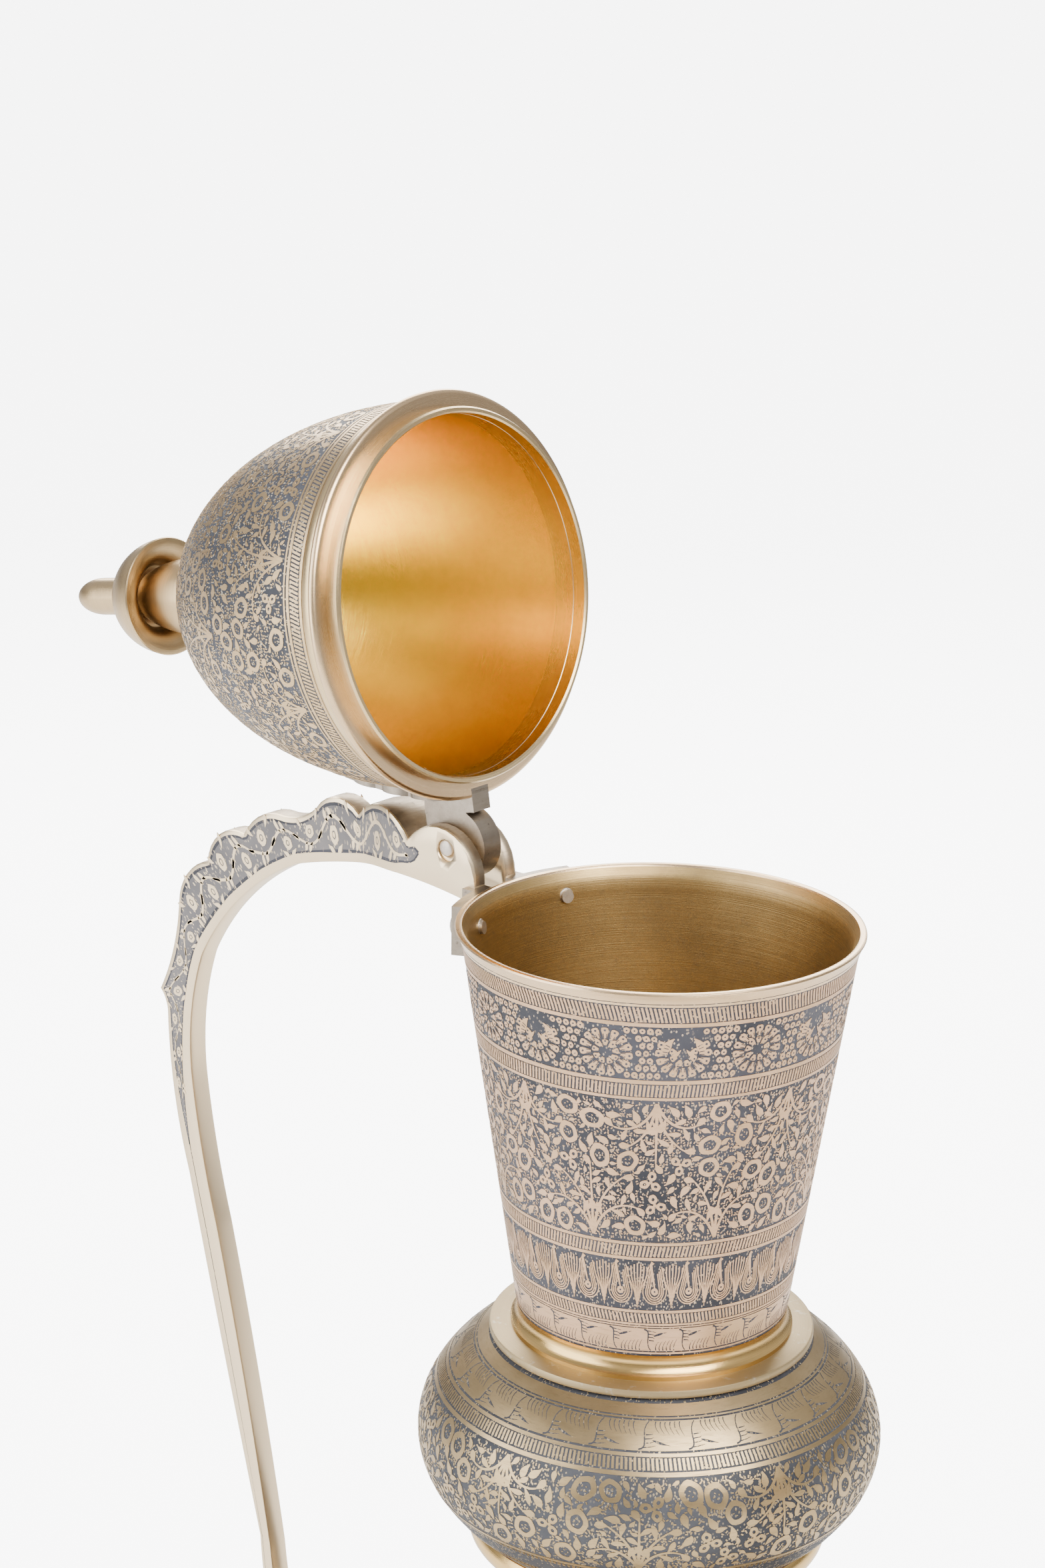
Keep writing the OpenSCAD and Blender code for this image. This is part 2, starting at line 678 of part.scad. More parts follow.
module strap_rivets() {
    color("silver") opened() for (z = strap_rivet_z()) on_oval(dome_r, dome_h, dome_z, z, strap_t + 2 * seam) rivet(strap_t + wall + 1.2);
}

module finial_stem() {
    color("peru") opened() difference() {
        rotate_extrude() polygon(concat(
            [[0, stem_z - 1], [stem_r + 1.4, stem_z - 1]],
            arc([stem_r + 1.4, stem_z - 1], [stem_r, stem_z + 2.6], 0.8),
            arc([stem_r, stem_z + 2.6], [stem_r - 2.4, stem_z + stem_h], -1),
            [[stem_r - 2.4, stem_z + stem_h], [0, stem_z + stem_h]]));
        lid_oval(seam);
        stud_bore();
    }
}

module stud_bore() {
    translate([0, 0, dome_z]) cylinder(r = stud_r + seam, h = tip_z + 8 - dome_z + seam);
}

module finial_dish() {
    under = stem_z + stem_h + 0.02;
    color("peru") opened() difference() {
        rotate_extrude() polygon(concat(
            [[0, under], [stem_r - 1.4, under]],
            arc([stem_r - 1.4, under], [dish_r - 0.8, dish_z], -1.2),
            [[dish_r - 0.8, dish_z], [dish_r, dish_z + 0.5]],
            arc([dish_r, dish_z + 0.5], [tip_r + 0.7, dish_z + dish_h - 1], -1.6),
            [[tip_r + 0.7, dish_z + dish_h - 1], [0, dish_z + dish_h - 1]]));
        stud_bore();
    }
}

module finial_tip() {
    straight = tip_h - tip_r * 1.9;
    color("goldenrod") opened() difference() {
        rotate_extrude() polygon(concat(
            [[0, tip_z], [tip_r + 0.3, tip_z], [tip_r + 0.3, tip_z + 0.8], [tip_r, tip_z + 1.2]],
            [for (i = [0 : 14]) let (t = 90 * i / 14) [max(0, tip_r * cos(t)), tip_z + straight + tip_r * 1.9 * sin(t)]]));
        stud_bore();
    }
}

module finial_stud() {
    top = tip_z + 8;
    low = dome_z + dome_h - wall - 1.2;
    color("silver") opened() union() {
        translate([0, 0, low]) cylinder(r = stud_r, h = top - low);
        translate([0, 0, low - 1.4]) cylinder(r = stud_r * 1.6, h = 1.4);
    }
}

module stud_washer() {
    color("silver") opened() difference() {
        translate([0, 0, dome_z + dome_h - wall - 1.2]) cylinder(r = stud_r * 2.2, h = 1.1);
        stud_bore();
        translate([0, 0, 0]) difference() {
            translate([0, 0, dome_z + dome_h - wall - 4]) cylinder(r = 30, h = 20);
            lid_oval(-wall - seam);
        }
    }
}

foot_rim();
foot_skirt();
belly_base();
belly_lower();
belly_upper();
belly_band();
waist_neck();
waist_collar();
neck_bulb();
collar_flange();
neck_fillet();
mouth_cup();
rim_bracket();
bracket_rivets();
handle();
handle_pad();
pad_rivets();
hinge_pin();
spout_socket();
spout_root();
spout_elbow();
spout_leg();
spout_crook();
spout_beak();
spout_lip();
lid_dome();
lid_edge_band();
lid_bead();
lid_locating_lip();
lid_strap();
strap_rivets();
finial_stem();
finial_dish();
finial_tip();
finial_stud();
stud_washer();
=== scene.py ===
"""Looks of the lidded brass ewer: smooth turned shells, chased ornament laid on them, finishes, light and camera."""

import logging
import math
import random
from collections.abc import Callable, Iterable, Sequence
from dataclasses import dataclass, field
from enum import Enum

import bmesh
import bpy
import numpy as np
from mathutils import Matrix, Vector

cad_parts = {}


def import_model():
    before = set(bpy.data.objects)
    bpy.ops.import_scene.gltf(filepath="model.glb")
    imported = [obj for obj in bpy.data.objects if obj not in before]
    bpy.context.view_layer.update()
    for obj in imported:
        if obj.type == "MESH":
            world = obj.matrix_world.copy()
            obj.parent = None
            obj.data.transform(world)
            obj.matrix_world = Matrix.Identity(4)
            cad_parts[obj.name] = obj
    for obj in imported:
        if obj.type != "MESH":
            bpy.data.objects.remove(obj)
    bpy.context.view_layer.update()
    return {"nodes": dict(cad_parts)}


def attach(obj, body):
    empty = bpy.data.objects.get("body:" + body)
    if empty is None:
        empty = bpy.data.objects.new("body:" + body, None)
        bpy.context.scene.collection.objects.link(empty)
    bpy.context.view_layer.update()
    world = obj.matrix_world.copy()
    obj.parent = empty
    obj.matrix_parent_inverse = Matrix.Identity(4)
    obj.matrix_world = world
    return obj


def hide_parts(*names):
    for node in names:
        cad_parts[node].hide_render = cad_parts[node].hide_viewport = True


log = logging.getLogger("ewer")
MM = 0.001
CHASED = 0.08  # depth of the dark ground below the standing ornament, in millimetres
TAU = 2 * math.pi
Pt = tuple[float, float]
Colour = tuple[float, float, float]


# ---------------------------------------------------------------- flat drawing

def polar(a: float, r: float = 1.0) -> Pt:
    """Point at angle a, in radians, and distance r."""
    return (r * math.cos(a), r * math.sin(a))


def oval(r: float, h: float, z: float, a: float, b: float, steps: int = 48) -> list[Pt]:
    """Part of a half oval, from angle a to angle b.

    Args:
        r: its largest radius. h: its half height. z: height of its widest line.
        a, b: angles in degrees from the widest line. steps: number of chords.

    Returns:
        Points (radius, height) in order.
    """
    turn = [math.radians(a + (b - a) * i / steps) for i in range(steps + 1)]
    return [(r * math.cos(t), z + h * math.sin(t)) for t in turn]


def arc(p: Pt, q: Pt, bulge: float, n: int = 12) -> list[Pt]:
    """Arc from p to q that bulges to the left, without its last point.

    Args:
        p, q: its ends. bulge: height of its middle over the chord. n: number of chords.

    Returns:
        Points from p towards q.
    """
    if abs(bulge) < 0.02:
        return [p]
    cx, cy = q[0] - p[0], q[1] - p[1]
    length = math.hypot(cx, cy)
    ex, ey = -cy / length, cx / length
    r = (length * length / 4 + bulge * bulge) / (2 * bulge)
    ox, oy = (p[0] + q[0]) / 2 + ex * (bulge - r), (p[1] + q[1]) / 2 + ey * (bulge - r)
    a, b = math.atan2(p[1] - oy, p[0] - ox), math.atan2(q[1] - oy, q[0] - ox)
    d = (b - a + math.pi) % TAU - math.pi
    return [(ox + abs(r) * math.cos(a + d * i / n), oy + abs(r) * math.sin(a + d * i / n)) for i in range(n)]


def bezier(p: Pt, q: Pt, r: Pt, s: Pt, n: int = 12) -> list[Pt]:
    """Cubic curve from p to s with handles q and r, as n chords."""
    out = []
    for i in range(n + 1):
        t = i / n
        k = ((1 - t) ** 3, 3 * t * (1 - t) ** 2, 3 * t * t * (1 - t), t ** 3)
        out.append(tuple(k[0] * p[j] + k[1] * q[j] + k[2] * r[j] + k[3] * s[j] for j in (0, 1)))
    return out


def heading(line: Sequence[Pt], i: int) -> Pt:
    """Unit direction of a line at its point i."""
    a, b = line[max(0, i - 1)], line[min(len(line) - 1, i + 1)]
    d = math.hypot(b[0] - a[0], b[1] - a[1]) or 1.0
    return ((b[0] - a[0]) / d, (b[1] - a[1]) / d)


class Pattern:
    """Flat ornament: ribbons with a left and a right edge, in millimetres."""

    def __init__(self) -> None:
        """Starts with nothing drawn."""
        self.ribbons: list[tuple[list[Pt], list[Pt], bool]] = []

    def stroke(self, line: Sequence[Pt], width: Callable[[float], float]) -> None:
        """Draws a line whose width follows its length.

        Args:
            line: its points. width: full width as a function of the share of its length, 0 to 1.
        """
        left, right = [], []
        for i, (x, y) in enumerate(line):
            dx, dy = heading(line, i)
            w = max(0.03, width(i / (len(line) - 1)) / 2)
            left.append((x - dy * w, y + dx * w))
            right.append((x + dy * w, y - dx * w))
        self.ribbons.append((left, right, False))

    def ring(self, x: float, y: float, r: float, hole: float, tall: float = 1.0, turn: float = 0.0, lobes: float = 0.0, n: int = 14) -> None:
        """Draws an oval ring.

        Args:
            x, y: its centre. r: its radius. hole: share of it that is open.
            tall: its height over its width. turn: its turn, in radians. lobes: waviness of its edge. n: corners.
        """
        left, right = [], []
        for i in range(n):
            a = TAU * i / n
            w = r * (1 + lobes * math.cos(5 * a + x))
            for side, k in ((left, 1.0), (right, hole)):
                px, py = w * k * math.cos(a), w * k * tall * math.sin(a)
                side.append((x + px * math.cos(turn) - py * math.sin(turn), y + px * math.sin(turn) + py * math.cos(turn)))
        self.ribbons.append((left, right, True))

    def dot(self, x: float, y: float, r: float, tall: float = 1.0, turn: float = 0.0) -> None:
        """Draws a filled oval."""
        left, right = [], []
        for i in range(6):
            a = math.pi * (0.06 + 0.88 * i / 5)
            for side, s in ((left, 1), (right, -1)):
                px, py = -r * math.cos(a), s * r * tall * math.sin(a)
                side.append((x + px * math.cos(turn) - py * math.sin(turn), y + px * math.sin(turn) + py * math.cos(turn)))
        self.ribbons.append((left, right, False))

    def leaf(self, x: float, y: float, turn: float, length: float, width: float, bend: float = 0.3, n: int = 7) -> None:
        """Draws a comma-shaped leaf from its stalk.

        Args:
            x, y: the stalk's end. turn: its direction, in radians. length, width: its size.
            bend: how far it curls, as a share of its length. n: chords along it.
        """
        c, s = math.cos(turn), math.sin(turn)
        line = bezier((0, 0), (length * 0.35, 0), (length * 0.8, bend * length * 0.5), (length, bend * length), n)
        self.stroke([(x + a * c - b * s, y + a * s + b * c) for a, b in line],
                    lambda t: width * (0.14 + math.sin(math.pi * min(1, t ** 1.35)) * 0.95))


class Surface:
    """Something ornament can be laid on."""

    def place(self, x: float, y: float, lift: float) -> tuple[float, float, float]:
        """Point of the surface at flat place (x, y), raised by lift."""
        raise NotImplementedError


class TurnedSurface(Surface):
    """A surface of revolution; x runs round it and y along its profile."""

    def __init__(self, line: Sequence[Pt], reference: float) -> None:
        """Measures the profile.

        Args:
            line: profile points (radius, height). Outwards is to the left of their direction when they run upwards to the right of the axis.
            reference: radius at which x is true to length.
        """
        self.line = [Vector((p[0], p[1])) for p in line]
        self.reach = [0.0]
        for a, b in zip(self.line, self.line[1:]):
            self.reach.append(self.reach[-1] + (b - a).length)
        self.reference = reference

    @property
    def length(self) -> float:
        """Length of the profile."""
        return self.reach[-1]

    def at(self, y: float) -> tuple[Vector, Vector]:
        """Point and outward normal of the profile at length y."""
        y = min(max(y, 0.0), self.length - 1e-6)
        i = min(int(np.searchsorted(self.reach, y, side="right")) - 1, len(self.line) - 2)
        a, b = self.line[i], self.line[i + 1]
        t = (b - a).normalized()
        before = (a - self.line[i - 1]).normalized() if i else t
        after = (self.line[i + 2] - b).normalized() if i + 2 < len(self.line) else t
        k = (y - self.reach[i]) / max(1e-9, (b - a).length)
        d = ((before + t).normalized().lerp((t + after).normalized(), k)).normalized()
        return a.lerp(b, k), Vector((-d.y, d.x)) if self.downwards else Vector((d.y, -d.x))

    @property
    def downwards(self) -> bool:
        """Whether the profile runs down."""
        return self.line[-1].y < self.line[0].y

    def at_height(self, z: float) -> float:
        """Length along the profile at which it passes height z."""
        for i, (a, b) in enumerate(zip(self.line, self.line[1:])):
            if (a.y - z) * (b.y - z) <= 0 and a.y != b.y:
                return self.reach[i] + (self.reach[i + 1] - self.reach[i]) * (z - a.y) / (b.y - a.y)
        return 0.0 if abs(z - self.line[0].y) < abs(z - self.line[-1].y) else self.length

    def place(self, x: float, y: float, lift: float) -> tuple[float, float, float]:
        """Point at x round and y along, raised by lift."""
        p, n = self.at(y)
        r, z, a = p.x + n.x * lift, p.y + n.y * lift, x / self.reference
        return (r * math.cos(a), r * math.sin(a), z)


# ---------------------------------------------------------------- meshes

class MeshBin:
    """Collects vertices and faces in millimetres and makes one object of them."""

    def __init__(self) -> None:
        """Starts empty."""
        self.verts: list[tuple[float, float, float]] = []
        self.faces: list[tuple[int, ...]] = []
        self.uvs: list[tuple[Pt, ...]] = []
        self.slots: list[int] = []

    def ribbon(self, surface: Surface, left: Sequence[Pt], right: Sequence[Pt], closed: bool, low: float, high: float) -> None:
        """Lays one ribbon on a surface as a closed bar.

        Args:
            surface: what it lies on. left, right: its edges. closed: whether it joins its own start.
            low, high: how far its underside and its top stand off the surface.
        """
        base, n = len(self.verts), len(left)
        for l, r in zip(left, right):
            self.verts += [surface.place(*l, high), surface.place(*r, high), surface.place(*r, low), surface.place(*l, low)]
        for i in range(n if closed else n - 1):
            j = (i + 1) % n
            for k in range(4):
                m = (k + 1) % 4
                self.faces.append((base + 4 * i + k, base + 4 * i + m, base + 4 * j + m, base + 4 * j + k))
                self.uvs.append((left[i], right[i], right[j], left[j]))
        if not closed:
            for i, quad in ((0, (3, 2, 1, 0)), (n - 1, (0, 1, 2, 3))):
                self.faces.append(tuple(base + 4 * i + k for k in quad))
                self.uvs.append((left[i], right[i], right[i], left[i]))

    def lay(self, surface: Surface, pattern: Pattern, low: float, high: float) -> "MeshBin":
        """Lays a whole pattern and returns the bin."""
        for left, right, closed in pattern.ribbons:
            self.ribbon(surface, left, right, closed, low, high)
        return self

    def hoop(self, surface: TurnedSurface, y0: float, y1: float, low: float, high: float, segments: int = 192) -> "MeshBin":
        """Adds a plain band all round, between lengths y0 and y1 of the profile, and returns the bin."""
        rows = max(1, int(abs(y1 - y0) / 1.2))
        span = [y0 + (y1 - y0) * i / rows for i in range(rows + 1)]
        loop = [(y, high) for y in span] + [(y, low) for y in reversed(span)]
        whole = TAU * surface.reference
        base, n = len(self.verts), len(loop)
        for s in range(segments):
            self.verts += [surface.place(whole * s / segments, y, h) for y, h in loop]
        for s in range(segments):
            t, x0, x1 = (s + 1) % segments, whole * s / segments, whole * (s + 1) / segments
            for i in range(n):
                j = (i + 1) % n
                self.faces.append((base + s * n + i, base + s * n + j, base + t * n + j, base + t * n + i))
                self.uvs.append(((x0, loop[i][0]), (x0, loop[j][0]), (x1, loop[j][0]), (x1, loop[i][0])))
        return self

    def make(self, name: str, materials: Sequence[bpy.types.Material], matrix: Matrix | None = None, smooth: float = 38.0) -> bpy.types.Object:
        """Makes the object, in metres.

        Args:
            name: its name. materials: one for each slot number used. matrix: a last move, in metres.
            smooth: edges sharper than this angle stay sharp.

        Returns:
            The new object, with its place in its mesh.
        """
        mesh = bpy.data.meshes.new(name)
        mesh.from_pydata([(x * MM, y * MM, z * MM) for x, y, z in self.verts], [], self.faces)
        layer = mesh.uv_layers.new(name="flat")
        layer.data.foreach_set("uv", [c for face in self.uvs for uv in face for c in uv])
        for m in materials:
            mesh.materials.append(m)
        if self.slots:
            mesh.polygons.foreach_set("material_index", self.slots)
        mesh.validate()
        work = bmesh.new()
        work.from_mesh(mesh)
        bmesh.ops.recalc_face_normals(work, faces=work.faces)
        work.to_mesh(mesh)
        work.free()
        if matrix is not None:
            mesh.transform(matrix)
        mesh.shade_smooth()
        mesh.set_sharp_from_angle(angle=math.radians(smooth))
        obj = bpy.data.objects.new(name, mesh)
        bpy.context.scene.collection.objects.link(obj)
        return obj


def lathe(name: str, loop: Sequence[tuple[float, float, int]], materials: Sequence[bpy.types.Material], matrix: Matrix | None = None,
          segments: int = 256, smooth: float = 30.0) -> bpy.types.Object:
    """Turns a closed loop round the Z axis.

    Args:
        name: the object's name. loop: corners (radius, height, material number of the side that starts there).
        materials: the materials. matrix: a last move, in metres. segments: steps round. smooth: largest soft angle.

    Returns:
        The turned object, with a flat map in millimetres.
    """
    bin_ = MeshBin()
    reach = [0.0]
    for a, b in zip(loop, list(loop[1:]) + [loop[0]]):
        reach.append(reach[-1] + math.hypot(b[0] - a[0], b[1] - a[1]))
    widest = max(p[0] for p in loop)
    rings: list[list[int]] = []
    for r, z, _ in loop:
        start = len(bin_.verts)
        if r < 1e-6:
            bin_.verts.append((0.0, 0.0, z))
            rings.append([start] * segments)
        else:
            bin_.verts += [(r * math.cos(TAU * s / segments), r * math.sin(TAU * s / segments), z) for s in range(segments)]
            rings.append(list(range(start, start + segments)))
    for i in range(len(loop)):
        j = (i + 1) % len(loop)
        if loop[i][0] < 1e-6 and loop[j][0] < 1e-6:
            continue
        for s in range(segments):
            t = (s + 1) % segments
            ids = [rings[i][s], rings[j][s], rings[j][t], rings[i][t]]
            x0, x1 = widest * TAU * s / segments, widest * TAU * (s + 1) / segments
            uv = [(x0, reach[i]), (x0, reach[i + 1]), (x1, reach[i + 1]), (x1, reach[i])]
            keep = [k for k in range(4) if ids[k] not in ids[:k]]
            bin_.faces.append(tuple(ids[k] for k in keep))
            bin_.uvs.append(tuple(uv[k] for k in keep))
            bin_.slots.append(loop[i][2])
    return bin_.make(name, materials, matrix, smooth)


def seat(obj: bpy.types.Object, body: str, slot: str, *nodes: str) -> None:
    """Puts a piece on its body and hides the CAD nodes it stands for."""
    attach(obj, body)
    if nodes:
        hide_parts(*nodes)


def ring_tree(name: str) -> bpy.types.GeometryNodeTree:
    """Builds the node tree that repeats a piece round the Z axis.

    Args:
        name: the tree's name.

    Returns:
        The tree, with inputs Piece, Count and Finish.
    """
    tree = bpy.data.node_groups.new(name, "GeometryNodeTree")
    face = tree.interface
    face.new_socket("Geometry", in_out="INPUT", socket_type="NodeSocketGeometry")
    face.new_socket("Piece", in_out="INPUT", socket_type="NodeSocketObject")
    face.new_socket("Count", in_out="INPUT", socket_type="NodeSocketInt")
    face.new_socket("Finish", in_out="INPUT", socket_type="NodeSocketMaterial")
    face.new_socket("Geometry", in_out="OUTPUT", socket_type="NodeSocketGeometry")
    new, link = tree.nodes.new, tree.links.new
    inp, out = new("NodeGroupInput"), new("NodeGroupOutput")
    points, info, index = new("GeometryNodePoints"), new("GeometryNodeObjectInfo"), new("GeometryNodeInputIndex")
    step, turn, spin = new("ShaderNodeMath"), new("ShaderNodeMath"), new("ShaderNodeCombineXYZ")
    put, real, dress = new("GeometryNodeInstanceOnPoints"), new("GeometryNodeRealizeInstances"), new("GeometryNodeSetMaterial")
    step.operation, turn.operation = "DIVIDE", "MULTIPLY"
    step.inputs[0].default_value = TAU
    link(inp.outputs["Count"], points.inputs["Count"])
    link(inp.outputs["Count"], step.inputs[1])
    link(step.outputs[0], turn.inputs[0])
    link(index.outputs[0], turn.inputs[1])
    link(turn.outputs[0], spin.inputs["Z"])
    link(inp.outputs["Piece"], info.inputs["Object"])
    link(points.outputs[0], put.inputs["Points"])
    link(info.outputs["Geometry"], put.inputs["Instance"])
    link(spin.outputs[0], put.inputs["Rotation"])
    link(put.outputs[0], real.inputs[0])
    link(real.outputs[0], dress.inputs["Geometry"])
    link(inp.outputs["Finish"], dress.inputs["Material"])
    link(dress.outputs[0], out.inputs[0])
    return tree


def around(source: bpy.types.Object, count: int, name: str, material: bpy.types.Material, matrix: Matrix | None = None) -> bpy.types.Object:
    """Repeats a piece round the Z axis and leaves one plain mesh.

    Args:
        source: the piece to repeat; it is removed. count: how many. name: the result's name.
        material: its finish. matrix: a last move, in metres.

    Returns:
        The joined object.
    """
    tree = bpy.data.node_groups.get("repeat_round_axis") or ring_tree("repeat_round_axis")
    host = bpy.data.objects.new(name + "_host", bpy.data.meshes.new(name + "_host"))
    bpy.context.scene.collection.objects.link(host)
    mod = host.modifiers.new("repeat", "NODES")
    mod.node_group = tree
    ids = {s.name: s.identifier for s in tree.interface.items_tree if s.in_out == "INPUT"}
    mod[ids["Piece"]] = source
    mod[ids["Count"]] = count
    mod[ids["Finish"]] = material
    bpy.context.view_layer.update()
    mesh = bpy.data.meshes.new_from_object(host.evaluated_get(bpy.context.evaluated_depsgraph_get()))
    bpy.data.objects.remove(host)
    bpy.data.objects.remove(source)
    mesh.name = name
    if matrix is not None:
        mesh.transform(matrix)
    obj = bpy.data.objects.new(name, mesh)
    bpy.context.scene.collection.objects.link(obj)
    return obj


# ---------------------------------------------------------------- finishes

class NodeKit:
    """Short names for building one material."""

    def __init__(self, name: str) -> None:
        """Starts a material with its shader linked to the output."""
        self.mat = bpy.data.materials.new(name)
        self.mat.use_nodes = True
        self.tree = self.mat.node_tree
        self.shader = self.tree.nodes["Principled BSDF"]

    def node(self, kind: str, **settings: object) -> bpy.types.Node:
        """Adds a node and sets its properties."""
        n = self.tree.nodes.new("ShaderNode" + kind)
        for key, value in settings.items():
            setattr(n, key, value)
        return n

    def link(self, a: bpy.types.NodeSocket, b: bpy.types.NodeSocket) -> None:
        """Links two sockets."""
        self.tree.links.new(a, b)

    def where(self, flat: bool, scale: Sequence[float], shift: Sequence[float] = (0, 0, 0)) -> bpy.types.NodeSocket:
        """Coordinates: the piece's flat map, or its object space, scaled.

        Args:
            flat: whether to use the flat map. scale: its scale. shift: its offset.

        Returns:
            The vector socket.
        """
        if flat:
            src = self.node("UVMap", uv_map="flat").outputs[0]
        else:
            src = self.node("TexCoord").outputs["Object"]
        m = self.node("Mapping")
        m.inputs["Scale"].default_value = scale
        m.inputs["Location"].default_value = shift
        self.link(src, m.inputs["Vector"])
        return m.outputs[0]

    def noise(self, vector: bpy.types.NodeSocket, scale: float, detail: float = 3.0, rough: float = 0.55) -> bpy.types.NodeSocket:
        """Noise value."""
        n = self.node("TexNoise")
        n.inputs["Scale"].default_value = scale
        n.inputs["Detail"].default_value = detail
        n.inputs["Roughness"].default_value = rough
        self.link(vector, n.inputs["Vector"])
        return n.outputs[0]

    def cells(self, vector: bpy.types.NodeSocket, scale: float, feature: str = "F1") -> bpy.types.NodeSocket:
        """Distance to the nearest random point."""
        n = self.node("TexVoronoi", feature=feature)
        n.inputs["Scale"].default_value = scale
        self.link(vector, n.inputs["Vector"])
        return n.outputs["Distance"]

    def ramp(self, value: bpy.types.NodeSocket, stops: Sequence[tuple[float, float]]) -> bpy.types.NodeSocket:
        """Grey ramp of a value.

        Args:
            value: what goes in. stops: pairs of place and brightness.

        Returns:
            The ramp's output.
        """
        n = self.node("ValToRGB")
        for i, (at, v) in enumerate(stops):
            e = n.color_ramp.elements[i] if i < 2 else n.color_ramp.elements.new(at)
            e.position, e.color = at, (v, v, v, 1)
        self.link(value, n.inputs[0])
        return n.outputs[0]

    def math(self, how: str, a: object, b: object) -> bpy.types.NodeSocket:
        """One sum of two sockets or numbers."""
        n = self.node("Math", operation=how)
        for i, v in enumerate((a, b)):
            if isinstance(v, (int, float)):
                n.inputs[i].default_value = v
            else:
                self.link(v, n.inputs[i])
        return n.outputs[0]

    def mix(self, share: object, a: object, b: object) -> bpy.types.NodeSocket:
        """Mixes two colours or sockets by a share."""
        n = self.node("Mix", data_type="RGBA")
        if isinstance(share, (int, float)):
            n.inputs[0].default_value = share
        else:
            self.link(share, n.inputs[0])
        for socket, v in ((n.inputs[6], a), (n.inputs[7], b)):
            if isinstance(v, tuple):
                socket.default_value = (*v, 1)
            else:
                self.link(v, socket)
        return n.outputs[2]

    def bump(self, height: bpy.types.NodeSocket, strength: float, distance: float) -> None:
        """Links a bump to the shader's normal."""
        n = self.node("Bump")
        n.inputs["Strength"].default_value = strength
        n.inputs["Distance"].default_value = distance
        self.link(height, n.inputs["Height"])
        self.link(n.outputs[0], self.shader.inputs["Normal"])

    def dress(self, colour: bpy.types.NodeSocket, rough: bpy.types.NodeSocket, metal: float | bpy.types.NodeSocket = 1.0) -> bpy.types.Material:
        """Links colour and roughness, sets the metal share and returns the material."""
        self.link(colour, self.shader.inputs["Base Color"])
        self.link(rough, self.shader.inputs["Roughness"])
        if isinstance(metal, (int, float)):
            self.shader.inputs["Metallic"].default_value = metal
        else:
            self.link(metal, self.shader.inputs["Metallic"])
        return self.mat


@dataclass(frozen=True)
class TurnedBrass:
    """Brass finished on a lathe: fine rings round the axis, cloudy tone and worn dust in places."""

    name: str
    light: Colour
    deep: Colour
    rough: float = 0.24
    rings: float = 0.5
    grime: float = 0.35
    dust: float = 0.0

    def build(self) -> bpy.types.Material:
        """Makes the material."""
        k = NodeKit(self.name)
        rings = k.noise(k.where(True, (0.012, 5.5, 1)), 1.0, 5, 0.7)
        clouds = k.noise(k.where(False, (60, 60, 60)), 1.0, 4)
        spots = k.noise(k.where(False, (420, 420, 420)), 1.0, 3, 0.6)
        dark = k.math("MULTIPLY", k.ramp(clouds, [(0.42, 0), (0.72, 1)]), self.grime)
        tone = k.mix(k.ramp(rings, [(0.3, 0), (0.72, 1)]), self.light, tuple(0.62 * a + 0.38 * b for a, b in zip(self.light, self.deep)))
        tone = k.mix(dark, tone, self.deep)
        freckle = k.math("MULTIPLY", k.ramp(spots, [(0.60, 0), (0.72, 1)]), 0.35 * self.grime + self.dust)
        tone = k.mix(freckle, tone, tuple(0.5 * a + 0.1 for a in self.deep) if not self.dust else (0.62, 0.60, 0.54))
        rough = k.math("ADD", k.math("MULTIPLY", rings, 0.16 * self.rings), k.math("ADD", k.math("MULTIPLY", clouds, 0.16), self.rough - 0.1 + 0.2 * self.dust))
        k.bump(k.math("ADD", k.math("MULTIPLY", rings, self.rings), k.math("MULTIPLY", spots, 0.25)), 0.35, 0.00012)
        return k.dress(tone, rough)


@dataclass(frozen=True)
class ChasedFigure:
    """Brass left standing between the chased lines: satin, scratched, a little uneven."""

    name: str
    light: Colour
    deep: Colour
    rough: float = 0.36

    def build(self) -> bpy.types.Material:
        """Makes the material."""
        k = NodeKit(self.name)
        clouds = k.noise(k.where(False, (90, 90, 90)), 1.0, 5)
        scratch = k.noise(k.where(False, (300, 300, 2600)), 1.0, 4, 0.75)
        tone = k.mix(k.ramp(clouds, [(0.36, 0), (0.68, 1)]), self.light, self.deep)
        tone = k.mix(k.math("MULTIPLY", k.ramp(scratch, [(0.52, 0), (0.70, 1)]), 0.4), tone, tuple(0.55 * c for c in self.deep))
        k.bump(k.math("ADD", scratch, k.math("MULTIPLY", clouds, 0.6)), 0.25, 0.00008)
        return k.dress(tone, k.math("ADD", k.math("MULTIPLY", scratch, 0.22), self.rough - 0.1))


@dataclass(frozen=True)
class ChasedGround:
    """Dark filler in the chased ground, with rows of small bright tool marks showing through."""

    name: str
    filler: Colour
    haze: Colour
    grain: Colour
    marks: float = 1.0
    pitch: float = 1.75

    def build(self) -> bpy.types.Material:
        """Makes the material."""
        k = NodeKit(self.name)
        grains = k.cells(k.where(True, (self.pitch, self.pitch * 0.72, 1)), 1.0)
        patches = k.noise(k.where(False, (240, 240, 240)), 1.0, 3)
        broad = k.noise(k.where(False, (45, 45, 45)), 1.0, 3)
        fill = k.mix(k.ramp(broad, [(0.35, 0), (0.7, 1)]), self.filler, self.haze)
        seen = k.math("MULTIPLY", k.ramp(grains, [(0.22, 1), (0.36, 0)]), k.ramp(patches, [(0.36, 0.15), (0.52, 1)]))
        seen = k.math("MULTIPLY", seen, self.marks)
        k.bump(k.math("ADD", seen, k.math("MULTIPLY", patches, 0.4)), 0.6, 0.00012)
        return k.dress(k.mix(seen, fill, self.grain), k.math("SUBTRACT", 0.58, k.math("MULTIPLY", seen, 0.22)), k.math("ADD", 0.15, k.math("MULTIPLY", seen, 0.8)))


